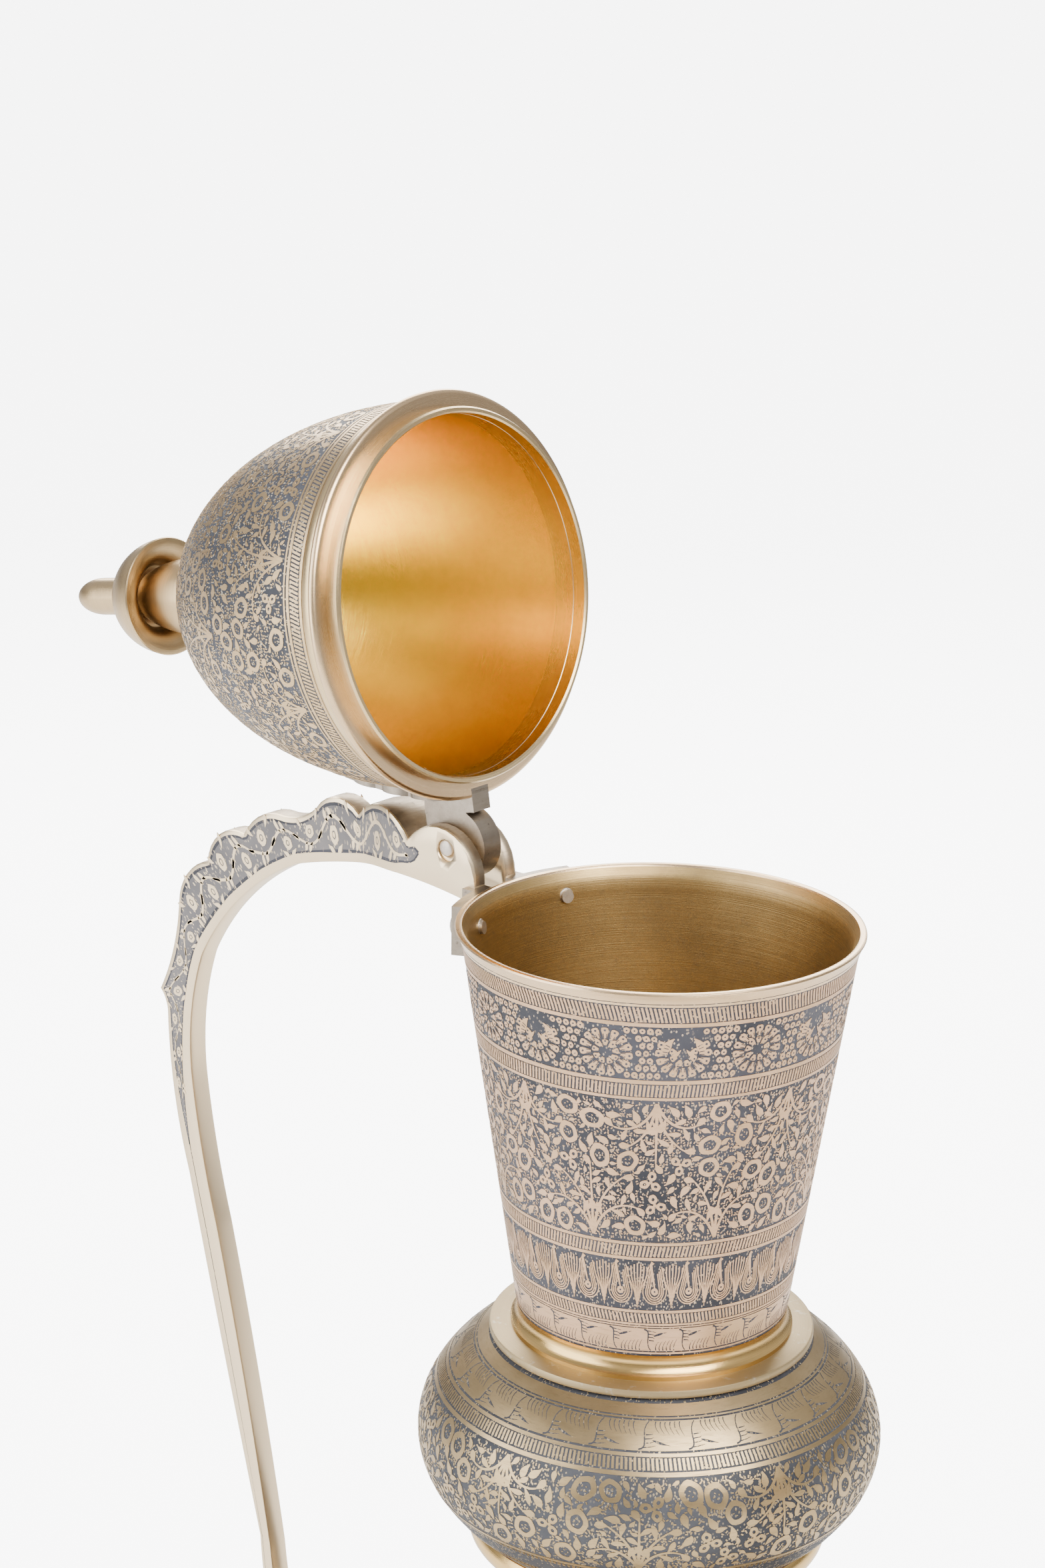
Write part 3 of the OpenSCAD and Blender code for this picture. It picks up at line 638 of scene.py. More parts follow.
@dataclass(frozen=True)
class FiledBrass:
    """Brass shaped with a file and rubbed down: long fine scratches, dull patches, darker hollows."""

    name: str
    light: Colour
    deep: Colour
    grain: tuple[float, float, float] = (220, 1400, 1400)
    rough: float = 0.34
    stain: float = 0.4

    def build(self) -> bpy.types.Material:
        """Makes the material."""
        k = NodeKit(self.name)
        lines = k.noise(k.where(False, self.grain), 1.0, 5, 0.7)
        clouds = k.noise(k.where(False, (70, 70, 70)), 1.0, 4, 0.6)
        pits = k.noise(k.where(False, (900, 900, 900)), 1.0, 2)
        tone = k.mix(k.ramp(lines, [(0.34, 0), (0.7, 1)]), self.light, tuple(0.72 * a + 0.28 * b for a, b in zip(self.light, self.deep)))
        tone = k.mix(k.math("MULTIPLY", k.ramp(clouds, [(0.45, 0), (0.75, 1)]), self.stain), tone, self.deep)
        tone = k.mix(k.math("MULTIPLY", k.ramp(pits, [(0.66, 0), (0.74, 1)]), 0.5), tone, tuple(0.45 * c for c in self.deep))
        k.bump(k.math("ADD", lines, k.math("MULTIPLY", pits, 0.5)), 0.4, 0.0001)
        return k.dress(tone, k.math("ADD", k.math("MULTIPLY", lines, 0.25), k.math("ADD", k.math("MULTIPLY", clouds, 0.15), self.rough - 0.18)))


class Metal(Enum):
    """The finishes of the ewer."""

    LIP = TurnedBrass("bright_lip", (0.80, 0.58, 0.34), (0.42, 0.27, 0.14), 0.25, 0.5, 0.3)
    CUP_FIGURE = ChasedFigure("cup_figures", (0.64, 0.415, 0.255), (0.52, 0.34, 0.19))
    CUP_GROUND = ChasedGround("cup_ground", (0.012, 0.013, 0.019), (0.06, 0.06, 0.075), (0.56, 0.44, 0.32))
    CUP_INSIDE = TurnedBrass("cup_inside", (0.52, 0.36, 0.15), (0.22, 0.14, 0.06), 0.33, 1.0, 0.6)
    FILLET = TurnedBrass("polished_fillet", (0.78, 0.52, 0.19), (0.40, 0.24, 0.08), 0.17, 0.5, 0.25)
    FLANGE = TurnedBrass("dusty_flange", (0.40, 0.31, 0.17), (0.26, 0.19, 0.10), 0.42, 0.4, 0.3, 0.3)
    BULB_FIGURE = ChasedFigure("bulb_figures", (0.47, 0.345, 0.185), (0.37, 0.265, 0.135), 0.34)
    BULB_GROUND = ChasedGround("bulb_ground", (0.014, 0.016, 0.022), (0.06, 0.062, 0.07), (0.44, 0.35, 0.22))
    LID_FIGURE = ChasedFigure("lid_figures", (0.66, 0.47, 0.26), (0.56, 0.40, 0.21), 0.34)
    LID_GROUND = ChasedGround("lid_ground", (0.022, 0.024, 0.032), (0.08, 0.083, 0.10), (0.62, 0.54, 0.40))
    STRIP_GROUND = ChasedGround("strip_ground", (0.10, 0.095, 0.10), (0.22, 0.20, 0.19), (0.66, 0.54, 0.38))
    LID_EDGE = TurnedBrass("lid_edge", (0.80, 0.60, 0.32), (0.45, 0.30, 0.14), 0.24, 0.6, 0.3)
    LID_INSIDE = TurnedBrass("gilded_inside", (0.98, 0.72, 0.10), (0.80, 0.44, 0.03), 0.16, 1.0, 0.45)
    FINIAL = TurnedBrass("finial_brass", (0.62, 0.45, 0.24), (0.34, 0.23, 0.12), 0.28, 0.6, 0.4)
    SHELL_INSIDE = TurnedBrass("shell_inside", (0.34, 0.24, 0.11), (0.14, 0.09, 0.04), 0.5, 0.6, 0.7)
    BODY = TurnedBrass("body_brass", (0.60, 0.43, 0.20), (0.36, 0.24, 0.10), 0.25, 0.6, 0.35)
    HANDLE = FiledBrass("handle_brass", (0.84, 0.62, 0.30), (0.48, 0.32, 0.14))
    # Crest face of the handle: a darker, greyer copy of the handle brass. Its darkness is painted shade for the shade
    # on the scallops' tops.
    CREST_PAINTED_SHADE = FiledBrass("handle_crest_painted_shade", (0.52, 0.42, 0.30), (0.24, 0.18, 0.11), (1500, 160, 1500), 0.4, 0.6)
    TINNED = FiledBrass("tinned_metal", (0.34, 0.29, 0.23), (0.15, 0.11, 0.08), (900, 120, 900), 0.36, 0.7)
    SOLDER = FiledBrass("soft_solder", (0.62, 0.60, 0.56), (0.34, 0.33, 0.31), (500, 500, 500), 0.38, 0.5)
    PIN = FiledBrass("pin_metal", (0.60, 0.53, 0.45), (0.30, 0.25, 0.20), (1200, 1200, 1200), 0.4, 0.4)

    def material(self) -> bpy.types.Material:
        """The finish's material, made once."""
        return bpy.data.materials.get(self.value.name) or self.value.build()


# ---------------------------------------------------------------- ornament

class Field:
    """A flat rectangle of ornament that wraps from side to side and keeps track of its free room."""

    CELL = 0.18

    def __init__(self, width: float, height: float, seed: int, scale: float = 1.0) -> None:
        """Clears the field.

        Args:
            width: the length round. height: the length up. seed: seed of its small variations. scale: size of its motifs.
        """
        self.width, self.height, self.k = width, height, scale
        self.rng = random.Random(seed)
        self.figures, self.marks = Pattern(), Pattern()
        nx, ny = int(width / self.CELL), int(height / self.CELL)
        self.x, self.y = np.meshgrid((np.arange(nx) + 0.5) * width / nx, (np.arange(ny) + 0.5) * height / ny)
        self.room = np.minimum(self.y, height - self.y) - 0.25

    def claim(self, x: float, y: float, r: float) -> None:
        """Marks a disc as used."""
        dx = np.abs(self.x - x % self.width)
        dx = np.minimum(dx, self.width - dx)
        self.room = np.minimum(self.room, np.hypot(dx, self.y - y) - r)

    def claim_line(self, line: Iterable[Pt], r: float) -> None:
        """Marks discs along a line as used."""
        for x, y in line:
            self.claim(x, y, r)

    def spot(self, r: float) -> Pt | None:
        """A random free place for a disc of radius r, or None."""
        free = np.flatnonzero(self.room > r)
        if not len(free):
            return None
        tight = free[np.argsort(self.room.flat[free])[: max(1, len(free) // 3)]]
        i = tight[self.rng.randrange(len(tight))]
        return float(self.x.flat[i]), float(self.y.flat[i])

    def stem(self, line: Sequence[Pt], thick: float, thin: float) -> None:
        """Draws a tapering stem and marks its place."""
        self.figures.stroke(line, lambda t: thick + (thin - thick) * t)
        self.claim_line(line, 0.34 * self.k)

    def leaf(self, x: float, y: float, turn: float, length: float, width: float, bend: float) -> None:
        """Draws a leaf and marks its place."""
        self.figures.leaf(x, y, turn, length, width, bend)
        for t in (0.35, 0.65, 0.95):
            px, py = length * t, bend * length * t * t
            self.claim(x + px * math.cos(turn) - py * math.sin(turn), y + px * math.sin(turn) + py * math.cos(turn), width * 0.45)

    def spray(self, x: float, y: float, up: float, height: float, stems: int, spread: float) -> None:
        """Draws stems that fan out of one root, with leaves on their sides and a bud at each end.

        Args:
            x, y: the root. up: its direction, in radians. height: reach of the middle stem.
            stems: how many. spread: angle of the outermost stems.
        """
        k = self.k
        for i in range(stems):
            f = 2 * i / (stems - 1) - 1 if stems > 1 else 0.0
            a = up - f * spread
            reach = height * (1 - 0.28 * abs(f)) * self.rng.uniform(0.9, 1.08)
            mid = polar(up - f * spread * 0.35, reach * 0.5)
            end = polar(a, reach)
            back = polar(a - f * 0.9, reach * 0.34)
            line = bezier((x, y), (x + mid[0], y + mid[1]), (x + end[0] - back[0], y + end[1] - back[1]), (x + end[0], y + end[1]), 14)
            line = [(px, min(max(py, 0.4), self.height - 0.4)) for px, py in line]
            self.stem(line, 0.62 * k, 0.3 * k)
            side = 1 if f >= 0 else -1
            for j, t in enumerate((4, 7, 10)):
                px, py = line[t]
                if not 1.2 < py < self.height - 1.2:
                    continue
                dx, dy = heading(line, t)
                s = side if j % 2 else -side
                self.leaf(px, py, math.atan2(dy, dx) - s * 0.75, self.rng.uniform(2.2, 3.1) * k, 0.95 * k, -s * 0.25)
            px, py = line[-1]
            if 1.0 < py < self.height - 1.0:
                dx, dy = heading(line, 13)
                self.leaf(px, py, math.atan2(dy, dx) - side * 0.3, 2.2 * k, 1.25 * k, -side * 0.35)

    def ring_flower(self, x: float, y: float, r: float) -> None:
        """Draws an open ring with small marks in its eye."""
        turn = self.rng.uniform(0, math.pi)
        self.figures.ring(x, y, r, 0.56, self.rng.uniform(1.05, 1.25), turn, 0.035, 20)
        for j in range(4):
            px, py = polar(turn + j * TAU / 4, r * 0.26)
            self.figures.dot(x + px, y + py, 0.17 * self.k, 0.6, turn + j)
        self.claim(x, y, r * 1.12)

    def trefoil(self, x: float, y: float, r: float) -> None:
        """Draws three hollow petals round a small heart."""
        turn = self.rng.uniform(0, TAU)
        for j in range(3):
            a = turn + j * TAU / 3
            px, py = polar(a, r * 0.56)
            self.figures.ring(x + px, y + py, r * 0.44, 0.36, 0.84, a, 0.05, 14)
        self.figures.dot(x, y, r * 0.15)
        self.claim(x, y, r)

    def bud(self, x: float, y: float, size: float) -> None:
        """Draws a small curled leaf."""
        a = self.rng.uniform(0, TAU)
        dx, dy = polar(a, size * 0.5)
        self.figures.leaf(x - dx, y - dy, a, size, size * 0.5, self.rng.choice((-0.35, 0.35)), 6)
        self.claim(x, y, size * 0.45)

    def fill(self, rings: int, trefoils: int, buds: int) -> None:
        """Fills the free room with flowers, then buds."""
        k = self.k
        for count, r, draw in ((rings, 2.05 * k, self.ring_flower), (trefoils, 2.4 * k, self.trefoil)):
            for _ in range(count):
                at = self.spot(r * 1.02)
                if at:
                    draw(at[0], at[1], r * self.rng.uniform(0.92, 1.0))
        for size in (2.6 * k, 1.9 * k, 1.35 * k):
            for _ in range(buds):
                at = self.spot(size * 0.5)
                if at:
                    self.bud(at[0], at[1], size)

    def tool_marks(self, pitch: float) -> None:
        """Covers what is still free with short strokes set square to the nearest outline."""
        gy, gx = np.gradient(self.room, self.y[1, 0] - self.y[0, 0], self.x[0, 1] - self.x[0, 0])
        ny, nx = self.room.shape
        for row in range(int(self.height / pitch)):
            for col in range(int(self.width / pitch)):
                x = (col + 0.5 + self.rng.uniform(-0.3, 0.3)) * pitch
                y = (row + 0.5 + self.rng.uniform(-0.3, 0.3)) * pitch
                i, j = min(ny - 1, int(y / self.height * ny)), min(nx - 1, int(x / self.width * nx))
                if self.room[i, j] < 0.1 * self.k or self.rng.random() < 0.12:
                    continue
                a = math.atan2(gy[i, j], gx[i, j]) + self.rng.uniform(-0.3, 0.3)
                dx, dy = polar(a, pitch * 0.36)
                self.marks.stroke([(x - dx, y - dy), (x + dx, y + dy)], lambda t: pitch * 0.36)


def hatch(height: float, lean: float, width: float, y0: float) -> Pattern:
    """One slanting stroke of a hatched border.

    Args:
        height: the border's height. lean: how far the top is set over. width: the stroke's width. y0: where it starts.

    Returns:
        A pattern with one stroke.
    """
    p = Pattern()
    p.stroke([(-lean / 2, y0), (0, y0 + height / 2), (lean / 2, y0 + height)], lambda t: width)
    return p


def fan_flower(p: Pattern, pricks: Pattern, x: float, y: float, r: float, up: float, whole: bool) -> None:
    """A two-tier flower of wedge petals with a pair of leaves in its heart.

    Args:
        p: takes the petals. pricks: takes the dark dots on them. x, y: its centre. r: its radius.
        up: its direction, in radians. whole: all round, or open at its foot.
    """
    reach = TAU if whole else 1.42 * math.pi
    for tier, (r0, r1, count) in enumerate(((0.56, 1.0, 15 if whole else 11), (0.26, 0.5, 9 if whole else 6))):
        for i in range(count):
            a = up - reach / 2 + reach * (i + 0.5) / count
            w = reach / count * 0.86
            line = [polar(a, r * (r0 + (r1 - r0) * t)) for t in (0, 0.35, 0.7, 0.92, 1.0)]
            shape = (0.62, 0.82, 1.0, 0.8, 0.35)
            p.stroke([(x + q[0], y + q[1]) for q in line], lambda t: w * r * (r0 + (r1 - r0) * t) * shape[min(4, round(t * 4))])
            q = polar(a, r * (r0 + (r1 - r0) * 0.74))
            pricks.dot(x + q[0], y + q[1], r * (0.045 if tier == 0 else 0.038))
            if tier == 0:
                for s in (-0.25, 0.25):
                    b = a + s * w
                    pricks.stroke([(x + c[0], y + c[1]) for c in (polar(b, r * r0 * 1.02), polar(b, r * (r0 + (r1 - r0) * 0.42)))], lambda t: r * 0.03)
    for s in (-1, 1):
        p.leaf(x - 0.1 * s * math.sin(up) * r, y - 0.18 * r, up + s * 0.5, r * 0.42, r * 0.15, s * 0.35)
        if not whole:
            q = polar(up + math.pi - s * 0.5, r * 0.72)
            p.leaf(x + q[0], y + q[1], up + s * 0.95, r * 0.66, r * 0.3, -s * 0.5)


def peacock_eye(p: Pattern, pricks: Pattern, width: float, y0: float, y1: float) -> None:
    """One drop-shaped eye with nested outlines, and fine barbs between it and the next.

    Args:
        p: takes the raised lines. pricks: takes the dark dot. width: the repeat's width. y0, y1: top and foot of the band, counted downwards.
    """
    h = y1 - y0
    cy = y0 + h * 0.62
    p.dot(0, cy, 0.78)
    pricks.dot(0, cy, 0.2)
    p.stroke([(0, cy - 0.7), (-0.3, cy - 2.2), (-0.95, y0 + 0.9), (-0.5, y0 + 0.25)], lambda t: 0.28 + 0.5 * t)
    for j, r in enumerate((1.25, 1.75, 2.2, 2.62)):
        line = [(r * math.sin(a) * (0.9 if j < 3 else 1.0), cy + r * math.cos(a) * 1.02) for a in [-2.0 + 4.0 * i / 14 for i in range(15)]]
        tip = 0.55 + 0.28 * j
        line = [(-tip, y0 + 2.6 - 0.5 * j)] + line + [(tip, y0 + 2.6 - 0.5 * j)]
        p.stroke(line, lambda t: 0.24)
    for i in range(7):
        f = (i - 3) / 3
        x = width / 2 + f * width * 0.30
        p.stroke(bezier((width / 2 + f * 0.5, y1 - 0.5 - abs(f) * 2.2), (width / 2 + f * 0.5, y1 - h * 0.5), (x, y0 + h * 0.45), (x - f * 0.2, y0 + 0.5 + abs(f) * 0.9), 8),
                 lambda t: 0.2 + 0.1 * t)


def leaf_wave(cuts: Pattern, width: float, y0: float, y1: float, flip: int) -> None:
    """The dark cuts that make one leaf of a running wave of leaves.

    Args:
        cuts: takes the cuts. width: the repeat's width. y0, y1: the band's edges. flip: 1, or -1 to turn it over.
    """
    h = y1 - y0

    def at(u: float, v: float) -> Pt:
        """Place in the band from shares of its width and height."""
        return (u * width, y0 + h * (v if flip > 0 else 1 - v))

    cuts.stroke(bezier(at(0.02, 0.04), at(0.28, 0.1), at(0.0, 0.62), at(0.22, 0.98), 10), lambda t: 0.34 * (1 - 0.4 * t))
    cuts.stroke(bezier(at(0.30, 0.34), at(0.42, 0.26), at(0.5, 0.22), at(0.66, 0.16), 5), lambda t: 0.5 * math.sin(math.pi * min(0.97, t + 0.1)))
    for i in range(6):
        u = 0.34 + 0.105 * i
        cuts.stroke(bezier(at(u + 0.03, 0.97), at(u, 0.86), at(u + 0.01, 0.74), at(u + 0.1, 0.58 - 0.02 * i), 4), lambda t: 0.26 * (1 - 0.75 * t))
    for i in range(4):
        v = 0.1 + 0.14 * i
        cuts.stroke([at(0.10 + 0.02 * i, v), at(0.24 + 0.02 * i, v + 0.02), at(0.36 - 0.02 * i, v + 0.06)], lambda t: 0.24 * (1 - 0.7 * t))


class Dresser:
    """Lays borders and fields on one turned surface and joins them into a few pieces."""

    LOW, HIGH = -0.16, 0.0

    def __init__(self, name: str, surface: TurnedSurface, body: str, figure: Metal, slot: str, matrix: Matrix | None = None) -> None:
        """Starts with nothing laid.

        Args:
            name: start of the pieces' names. surface: what is dressed. body: the CAD body it rides on.
            figure: finish of the standing parts. slot: not used. matrix: a last move, in metres.
        """
        self.name, self.surface, self.body, self.figure, self.slot, self.matrix = name, surface, body, figure, slot, matrix
        self.hoops = MeshBin()

    def finish(self, obj: bpy.types.Object) -> None:
        """Puts a piece on its body."""
        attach(obj, self.body)
        log.info("%s: %d faces", obj.name, len(obj.data.polygons))

    def line(self, y0: float, y1: float) -> None:
        """A plain raised band."""
        self.hoops.hoop(self.surface, y0, y1, self.LOW, self.HIGH)

    def cut_line(self, y: float, width: float = 0.22) -> None:
        """A thin dark line all round, over plain metal."""
        obj = MeshBin().hoop(self.surface, y - width / 2, y + width / 2, -0.05, 0.012).make(f"{self.name}_line_{int(y * 100)}", [Metal.CUP_GROUND.material()], self.matrix)
        self.finish(obj)

    def repeat(self, tag: str, pattern: Pattern, count: int, low: float, high: float, metal: Metal) -> None:
        """Lays a pattern once and repeats it all round.

        Args:
            tag: end of the piece's name. pattern: what to lay. count: how many. low, high: its underside and top. metal: its finish.
        """
        if not pattern.ribbons:
            return
        one = MeshBin().lay(self.surface, pattern, low, high).make(self.name + "_one", [metal.material()])
        self.finish(around(one, count, f"{self.name}_{tag}", metal.material(), self.matrix))

    def hatching(self, tag: str, y0: float, y1: float, pitch: float, lean: float) -> None:
        """A border of slanting strokes."""
        r = self.surface.at((y0 + y1) / 2)[0].x
        count = round(TAU * r / pitch)
        width = pitch * 0.56 * self.surface.reference / r
        self.repeat(tag, hatch(y1 - y0, lean, width, y0), count, self.LOW, self.HIGH, self.figure)

    def field(self, tag: str, made: Field, y0: float, count: int, marks: bool = True) -> None:
        """Lays a field of ornament that starts at length y0."""
        for part, pattern in (("figures", made.figures), ("marks", made.marks if marks else Pattern())):
            moved = Pattern()
            moved.ribbons = [([(x, y0 + y) for x, y in l], [(x, y0 + y) for x, y in r], c) for l, r, c in pattern.ribbons]
            self.repeat(f"{tag}_{part}", moved, count, self.LOW, self.HIGH if part == "figures" else self.HIGH - 0.02, self.figure)

    def close(self) -> None:
        """Makes the plain bands into one piece."""
        if self.hoops.faces:
            self.finish(self.hoops.make(self.name + "_bands", [self.figure.material()], self.matrix))


# ---------------------------------------------------------------- sub-assemblies

@dataclass
class BodySizes:
    """Sizes of the pot's shells, in millimetres, from the table up."""

    wall: float = 1.4
    foot_h: float = 17.0
    foot_r: float = 46.0
    foot_rim_h: float = 3.6
    belly_foot_r: float = 36.0
    belly_r: float = 74.0
    belly_hh: float = 58.0
    belly_top_r: float = 31.0
    band_h: float = 6.0
    band_t: float = 1.6
    waist_h: float = 32.0
    waist_r: float = 25.0
    collar_h: float = 5.0
    collar_t: float = 1.8
    bulb_r: float = 43.9
    bulb_hh: float = 27.0
    bulb_top_r: float = 29.4
    bulb_foot_r: float = 33.0
    flange_r: float = 30.5
    flange_t: float = 1.7
    fillet_h: float = 4.5
    fillet_r: float = 26.5
    cup_foot_r: float = 25.5
    cup_h: float = 73.8
    rim_r: float = 37.5
    lip_flare: float = 0.8
    lip_flare_h: float = 4.0
    belly_z: float = field(init=False)
    waist_z: float = field(init=False)
    collar_z: float = field(init=False)
    bulb_foot_z: float = field(init=False)
    bulb_z: float = field(init=False)
    flange_z: float = field(init=False)
    fillet_z: float = field(init=False)
    cup_z: float = field(init=False)
    rim_z: float = field(init=False)

    def __post_init__(self) -> None:
        """Works out the heights of the stack."""
        self.belly_z = self.foot_h + self.belly_hh * math.sqrt(1 - (self.belly_foot_r / self.belly_r) ** 2)
        self.waist_z = self.belly_z + self.belly_hh * math.sqrt(1 - (self.belly_top_r / self.belly_r) ** 2)
        self.collar_z = self.waist_z + self.waist_h
        self.bulb_foot_z = self.collar_z + self.collar_h
        self.bulb_z = self.bulb_foot_z + self.bulb_hh * math.sqrt(1 - (self.bulb_foot_r / self.bulb_r) ** 2)
        self.flange_z = self.bulb_z + self.bulb_hh * math.sqrt(1 - (self.bulb_top_r / self.bulb_r) ** 2)
        self.fillet_z = self.flange_z + self.flange_t
        self.cup_z = self.fillet_z + self.fillet_h
        self.rim_z = self.cup_z + self.cup_h


def angle_at(q: float, r: float) -> float:
    """Angle, in degrees, at which an oval of radius r has radius q."""
    return math.degrees(math.acos(min(1.0, q / r)))


def numbered(points: Iterable[Pt], slot: int) -> list[tuple[float, float, int]]:
    """Profile corners with one material number."""
    return [(p[0], p[1], slot) for p in points]


class Cup:
    """The mouth cup, its fillet and the flange under it."""

    def __init__(self, sizes: BodySizes) -> None:
        """Keeps the sizes."""
        self.s = sizes

    def build(self) -> None:
        """Turns the shells."""
        s = self.s
        top_r = s.rim_r - s.lip_flare
        lip_foot = top_r - (top_r - s.cup_foot_r) / s.cup_h * s.lip_flare_h
        wall = s.wall
        lip = arc((lip_foot, s.rim_z - s.lip_flare_h), (s.rim_r, s.rim_z - 0.45), 0.15, 6)
        plain_z = s.rim_z - 2.9
        outer = [(s.cup_foot_r - CHASED, s.cup_z, 0), (lip_foot - CHASED, s.rim_z - s.lip_flare_h, 0)]
        outer += [(r - CHASED, z, 0) if z < plain_z - 0.4 else (r, z, 1) for r, z in lip[1:]]
        edge = numbered([(s.rim_r, s.rim_z - 0.45), (s.rim_r - 0.12, s.rim_z - 0.12), (s.rim_r - 0.42, s.rim_z),
                         (s.rim_r - wall + 0.42, s.rim_z), (s.rim_r - wall + 0.12, s.rim_z - 0.14)], 1)
        inner = [(s.rim_r - wall, s.rim_z - 0.5, 2)]
        inner += [(lip_foot - wall + 0.9 * (1 - t) ** 2, s.rim_z - 0.5 - (s.lip_flare_h + 1.5) * t, 2) for t in (0.2, 0.4, 0.6, 0.8, 1.0)]
        inner += [(s.cup_foot_r - wall, s.cup_z, 2)]
        cup = lathe("mouth_cup_shell", outer + edge + inner, [Metal.CUP_GROUND.material(), Metal.LIP.material(), Metal.CUP_INSIDE.material()])
        seat(cup, "pot", "engraved_brass", "mouth_cup")
        foot = [(s.cup_foot_r - wall - 1, s.fillet_z), (s.fillet_r, s.fillet_z), (s.fillet_r, s.fillet_z + 0.8)]
        foot += arc((s.fillet_r, s.fillet_z + 0.8), (s.cup_foot_r, s.cup_z), 0.9, 10)[1:] + [(s.cup_foot_r, s.cup_z), (s.cup_foot_r - wall, s.cup_z)]
        fillet = lathe("neck_fillet_turned", numbered(foot, 0), [Metal.FILLET.material()])
        seat(fillet, "pot", "polished_brass", "neck_fillet")
        hole = s.cup_foot_r - wall - 1
        plate = [(hole, s.flange_z), (s.flange_r - 0.5, s.flange_z), (s.flange_r - 0.15, s.flange_z + 0.15), (s.flange_r, s.flange_z + 0.5),
                 (s.flange_r, s.fillet_z - 0.35), (s.flange_r - 0.12, s.fillet_z - 0.1), (s.flange_r - 0.35, s.fillet_z), (hole, s.fillet_z)]
        flange = lathe("collar_flange_plate", numbered(plate, 0), [Metal.FLANGE.material()])
        seat(flange, "pot", "polished_brass", "collar_flange")

    def dress(self) -> None:
        """Lays the chased bands on the cup, from the lip down."""
        s = self.s
        top_r = s.rim_r - s.lip_flare
        lip_foot = top_r - (top_r - s.cup_foot_r) / s.cup_h * s.lip_flare_h
        line = list(reversed([(s.cup_foot_r, s.cup_z), (lip_foot, s.rim_z - s.lip_flare_h)] + arc((lip_foot, s.rim_z - s.lip_flare_h), (s.rim_r, s.rim_z - 0.45), 0.15, 6)[1:] + [(s.rim_r, s.rim_z - 0.45)]))
        surface = TurnedSurface(line, 34.0)
        y = lambda drop: surface.at_height(s.rim_z - drop)
        d = Dresser("cup", surface, "pot", Metal.CUP_FIGURE, "engraved_brass")
        d.cut_line(y(2.2), 0.16)
        d.hatching("hatch_lip", y(3.0), y(5.8), 0.74, 0.62)
        d.line(y(6.0), y(6.7))
        self.rosettes(d, y(6.85), y(17.0))
        d.line(y(17.2), y(17.95))
        d.hatching("hatch_2", y(18.15), y(20.45), 0.72, -0.25)
        d.line(y(20.6), y(21.15))
        self.arabesque(d, y(21.3), y(49.85))
        d.line(y(50.0), y(50.6))
        d.hatching("hatch_3", y(50.75), y(52.95), 0.70, -0.5)
        d.line(y(53.1), y(53.7))
        self.eyes(d, y(53.8), y(64.05))
        d.line(y(64.15), y(64.7))
        d.hatching("hatch_4", y(64.85), y(66.75), 0.68, 0.5)
        d.line(y(66.9), y(67.3))
        d.line(y(67.5), y(67.75))
        self.leaf_border(d, y(67.95), y(72.7))
        d.line(y(73.0), y(73.35))
        d.close()

    @staticmethod
    def rosettes(d: Dresser, y0: float, y1: float) -> None:
        """A band of two kinds of flower in turn, with berries between them."""
        count = 8
        width = TAU * d.surface.reference / count
        figures, pricks = Pattern(), Pattern()
        h = y1 - y0
        fan_flower(figures, pricks, 0, y0 + h * 0.50, h * 0.47, math.pi / 2, False)
        fan_flower(figures, pricks, width / 2, y0 + h * 0.52, h * 0.46, -math.pi / 2, True)
        rng = random.Random(41)
        for side in (0.25, 0.75):
            for row in range(7):
                for k in range(-2, 3):
                    x = width * side + k * 1.32 + (0.66 if row % 2 else 0) - 0.33
                    yy = y0 + 0.75 + row * (h - 1.5) / 6
                    gap_a = math.hypot(min(abs(x), abs(x - width)), yy - (y0 + h * 0.5))
                    gap_b = math.hypot(x - width / 2, yy - (y0 + h * 0.52))
                    if min(gap_a, gap_b) > h * 0.47 + 0.55:
                        figures.dot(x, yy, rng.uniform(0.5, 0.6), rng.uniform(1.0, 1.2))
                        pricks.dot(x, yy, 0.16)
        d.repeat("rosettes", figures, count, d.LOW, d.HIGH, d.figure)
        d.repeat("rosette_pricks", pricks, count, -0.06, 0.02, Metal.CUP_GROUND)

    @staticmethod
    def arabesque(d: Dresser, y0: float, y1: float) -> None:
        """Sprays that fan out of each other over the widest band."""
        count = 4
        f = Field(TAU * d.surface.reference / count, y1 - y0, 17)
        w, h = f.width, f.height
        for x, y, up, reach, stems, spread in ((w * 0.18, h - 0.6, -math.pi / 2, 15.5, 5, 0.95), (w * 0.66, h - 0.5, -math.pi / 2 - 0.12, 14.0, 4, 0.85),
                                               (w * 0.42, 0.5, math.pi / 2, 12.5, 5, 1.0), (w * 0.92, 0.6, math.pi / 2 + 0.1, 13.0, 4, 0.9)):
            f.spray(x, y, up, reach, stems, spread)
        f.fill(16, 9, 40)
        f.tool_marks(0.62)
        d.field("arabesque", f, y0, count)

    @staticmethod
    def eyes(d: Dresser, y0: float, y1: float) -> None:
        """The border of drop-shaped eyes."""
        count = 28
        figures, pricks = Pattern(), Pattern()
        peacock_eye(figures, pricks, TAU * d.surface.reference / count, y0, y1)
        d.repeat("eyes", figures, count, d.LOW, d.HIGH, d.figure)
        d.repeat("eye_pricks", pricks, count, -0.06, 0.02, Metal.CUP_GROUND)

    @staticmethod
    def leaf_border(d: Dresser, y0: float, y1: float) -> None:
        """The running wave of leaves at the foot."""
        count = 26
        d.line(y0, y1)
        cuts = Pattern()
        leaf_wave(cuts, TAU * d.surface.reference / count, y0, y1, 1)
        d.repeat("leaf_cuts", cuts, count, -0.06, 0.02, Metal.CUP_GROUND)


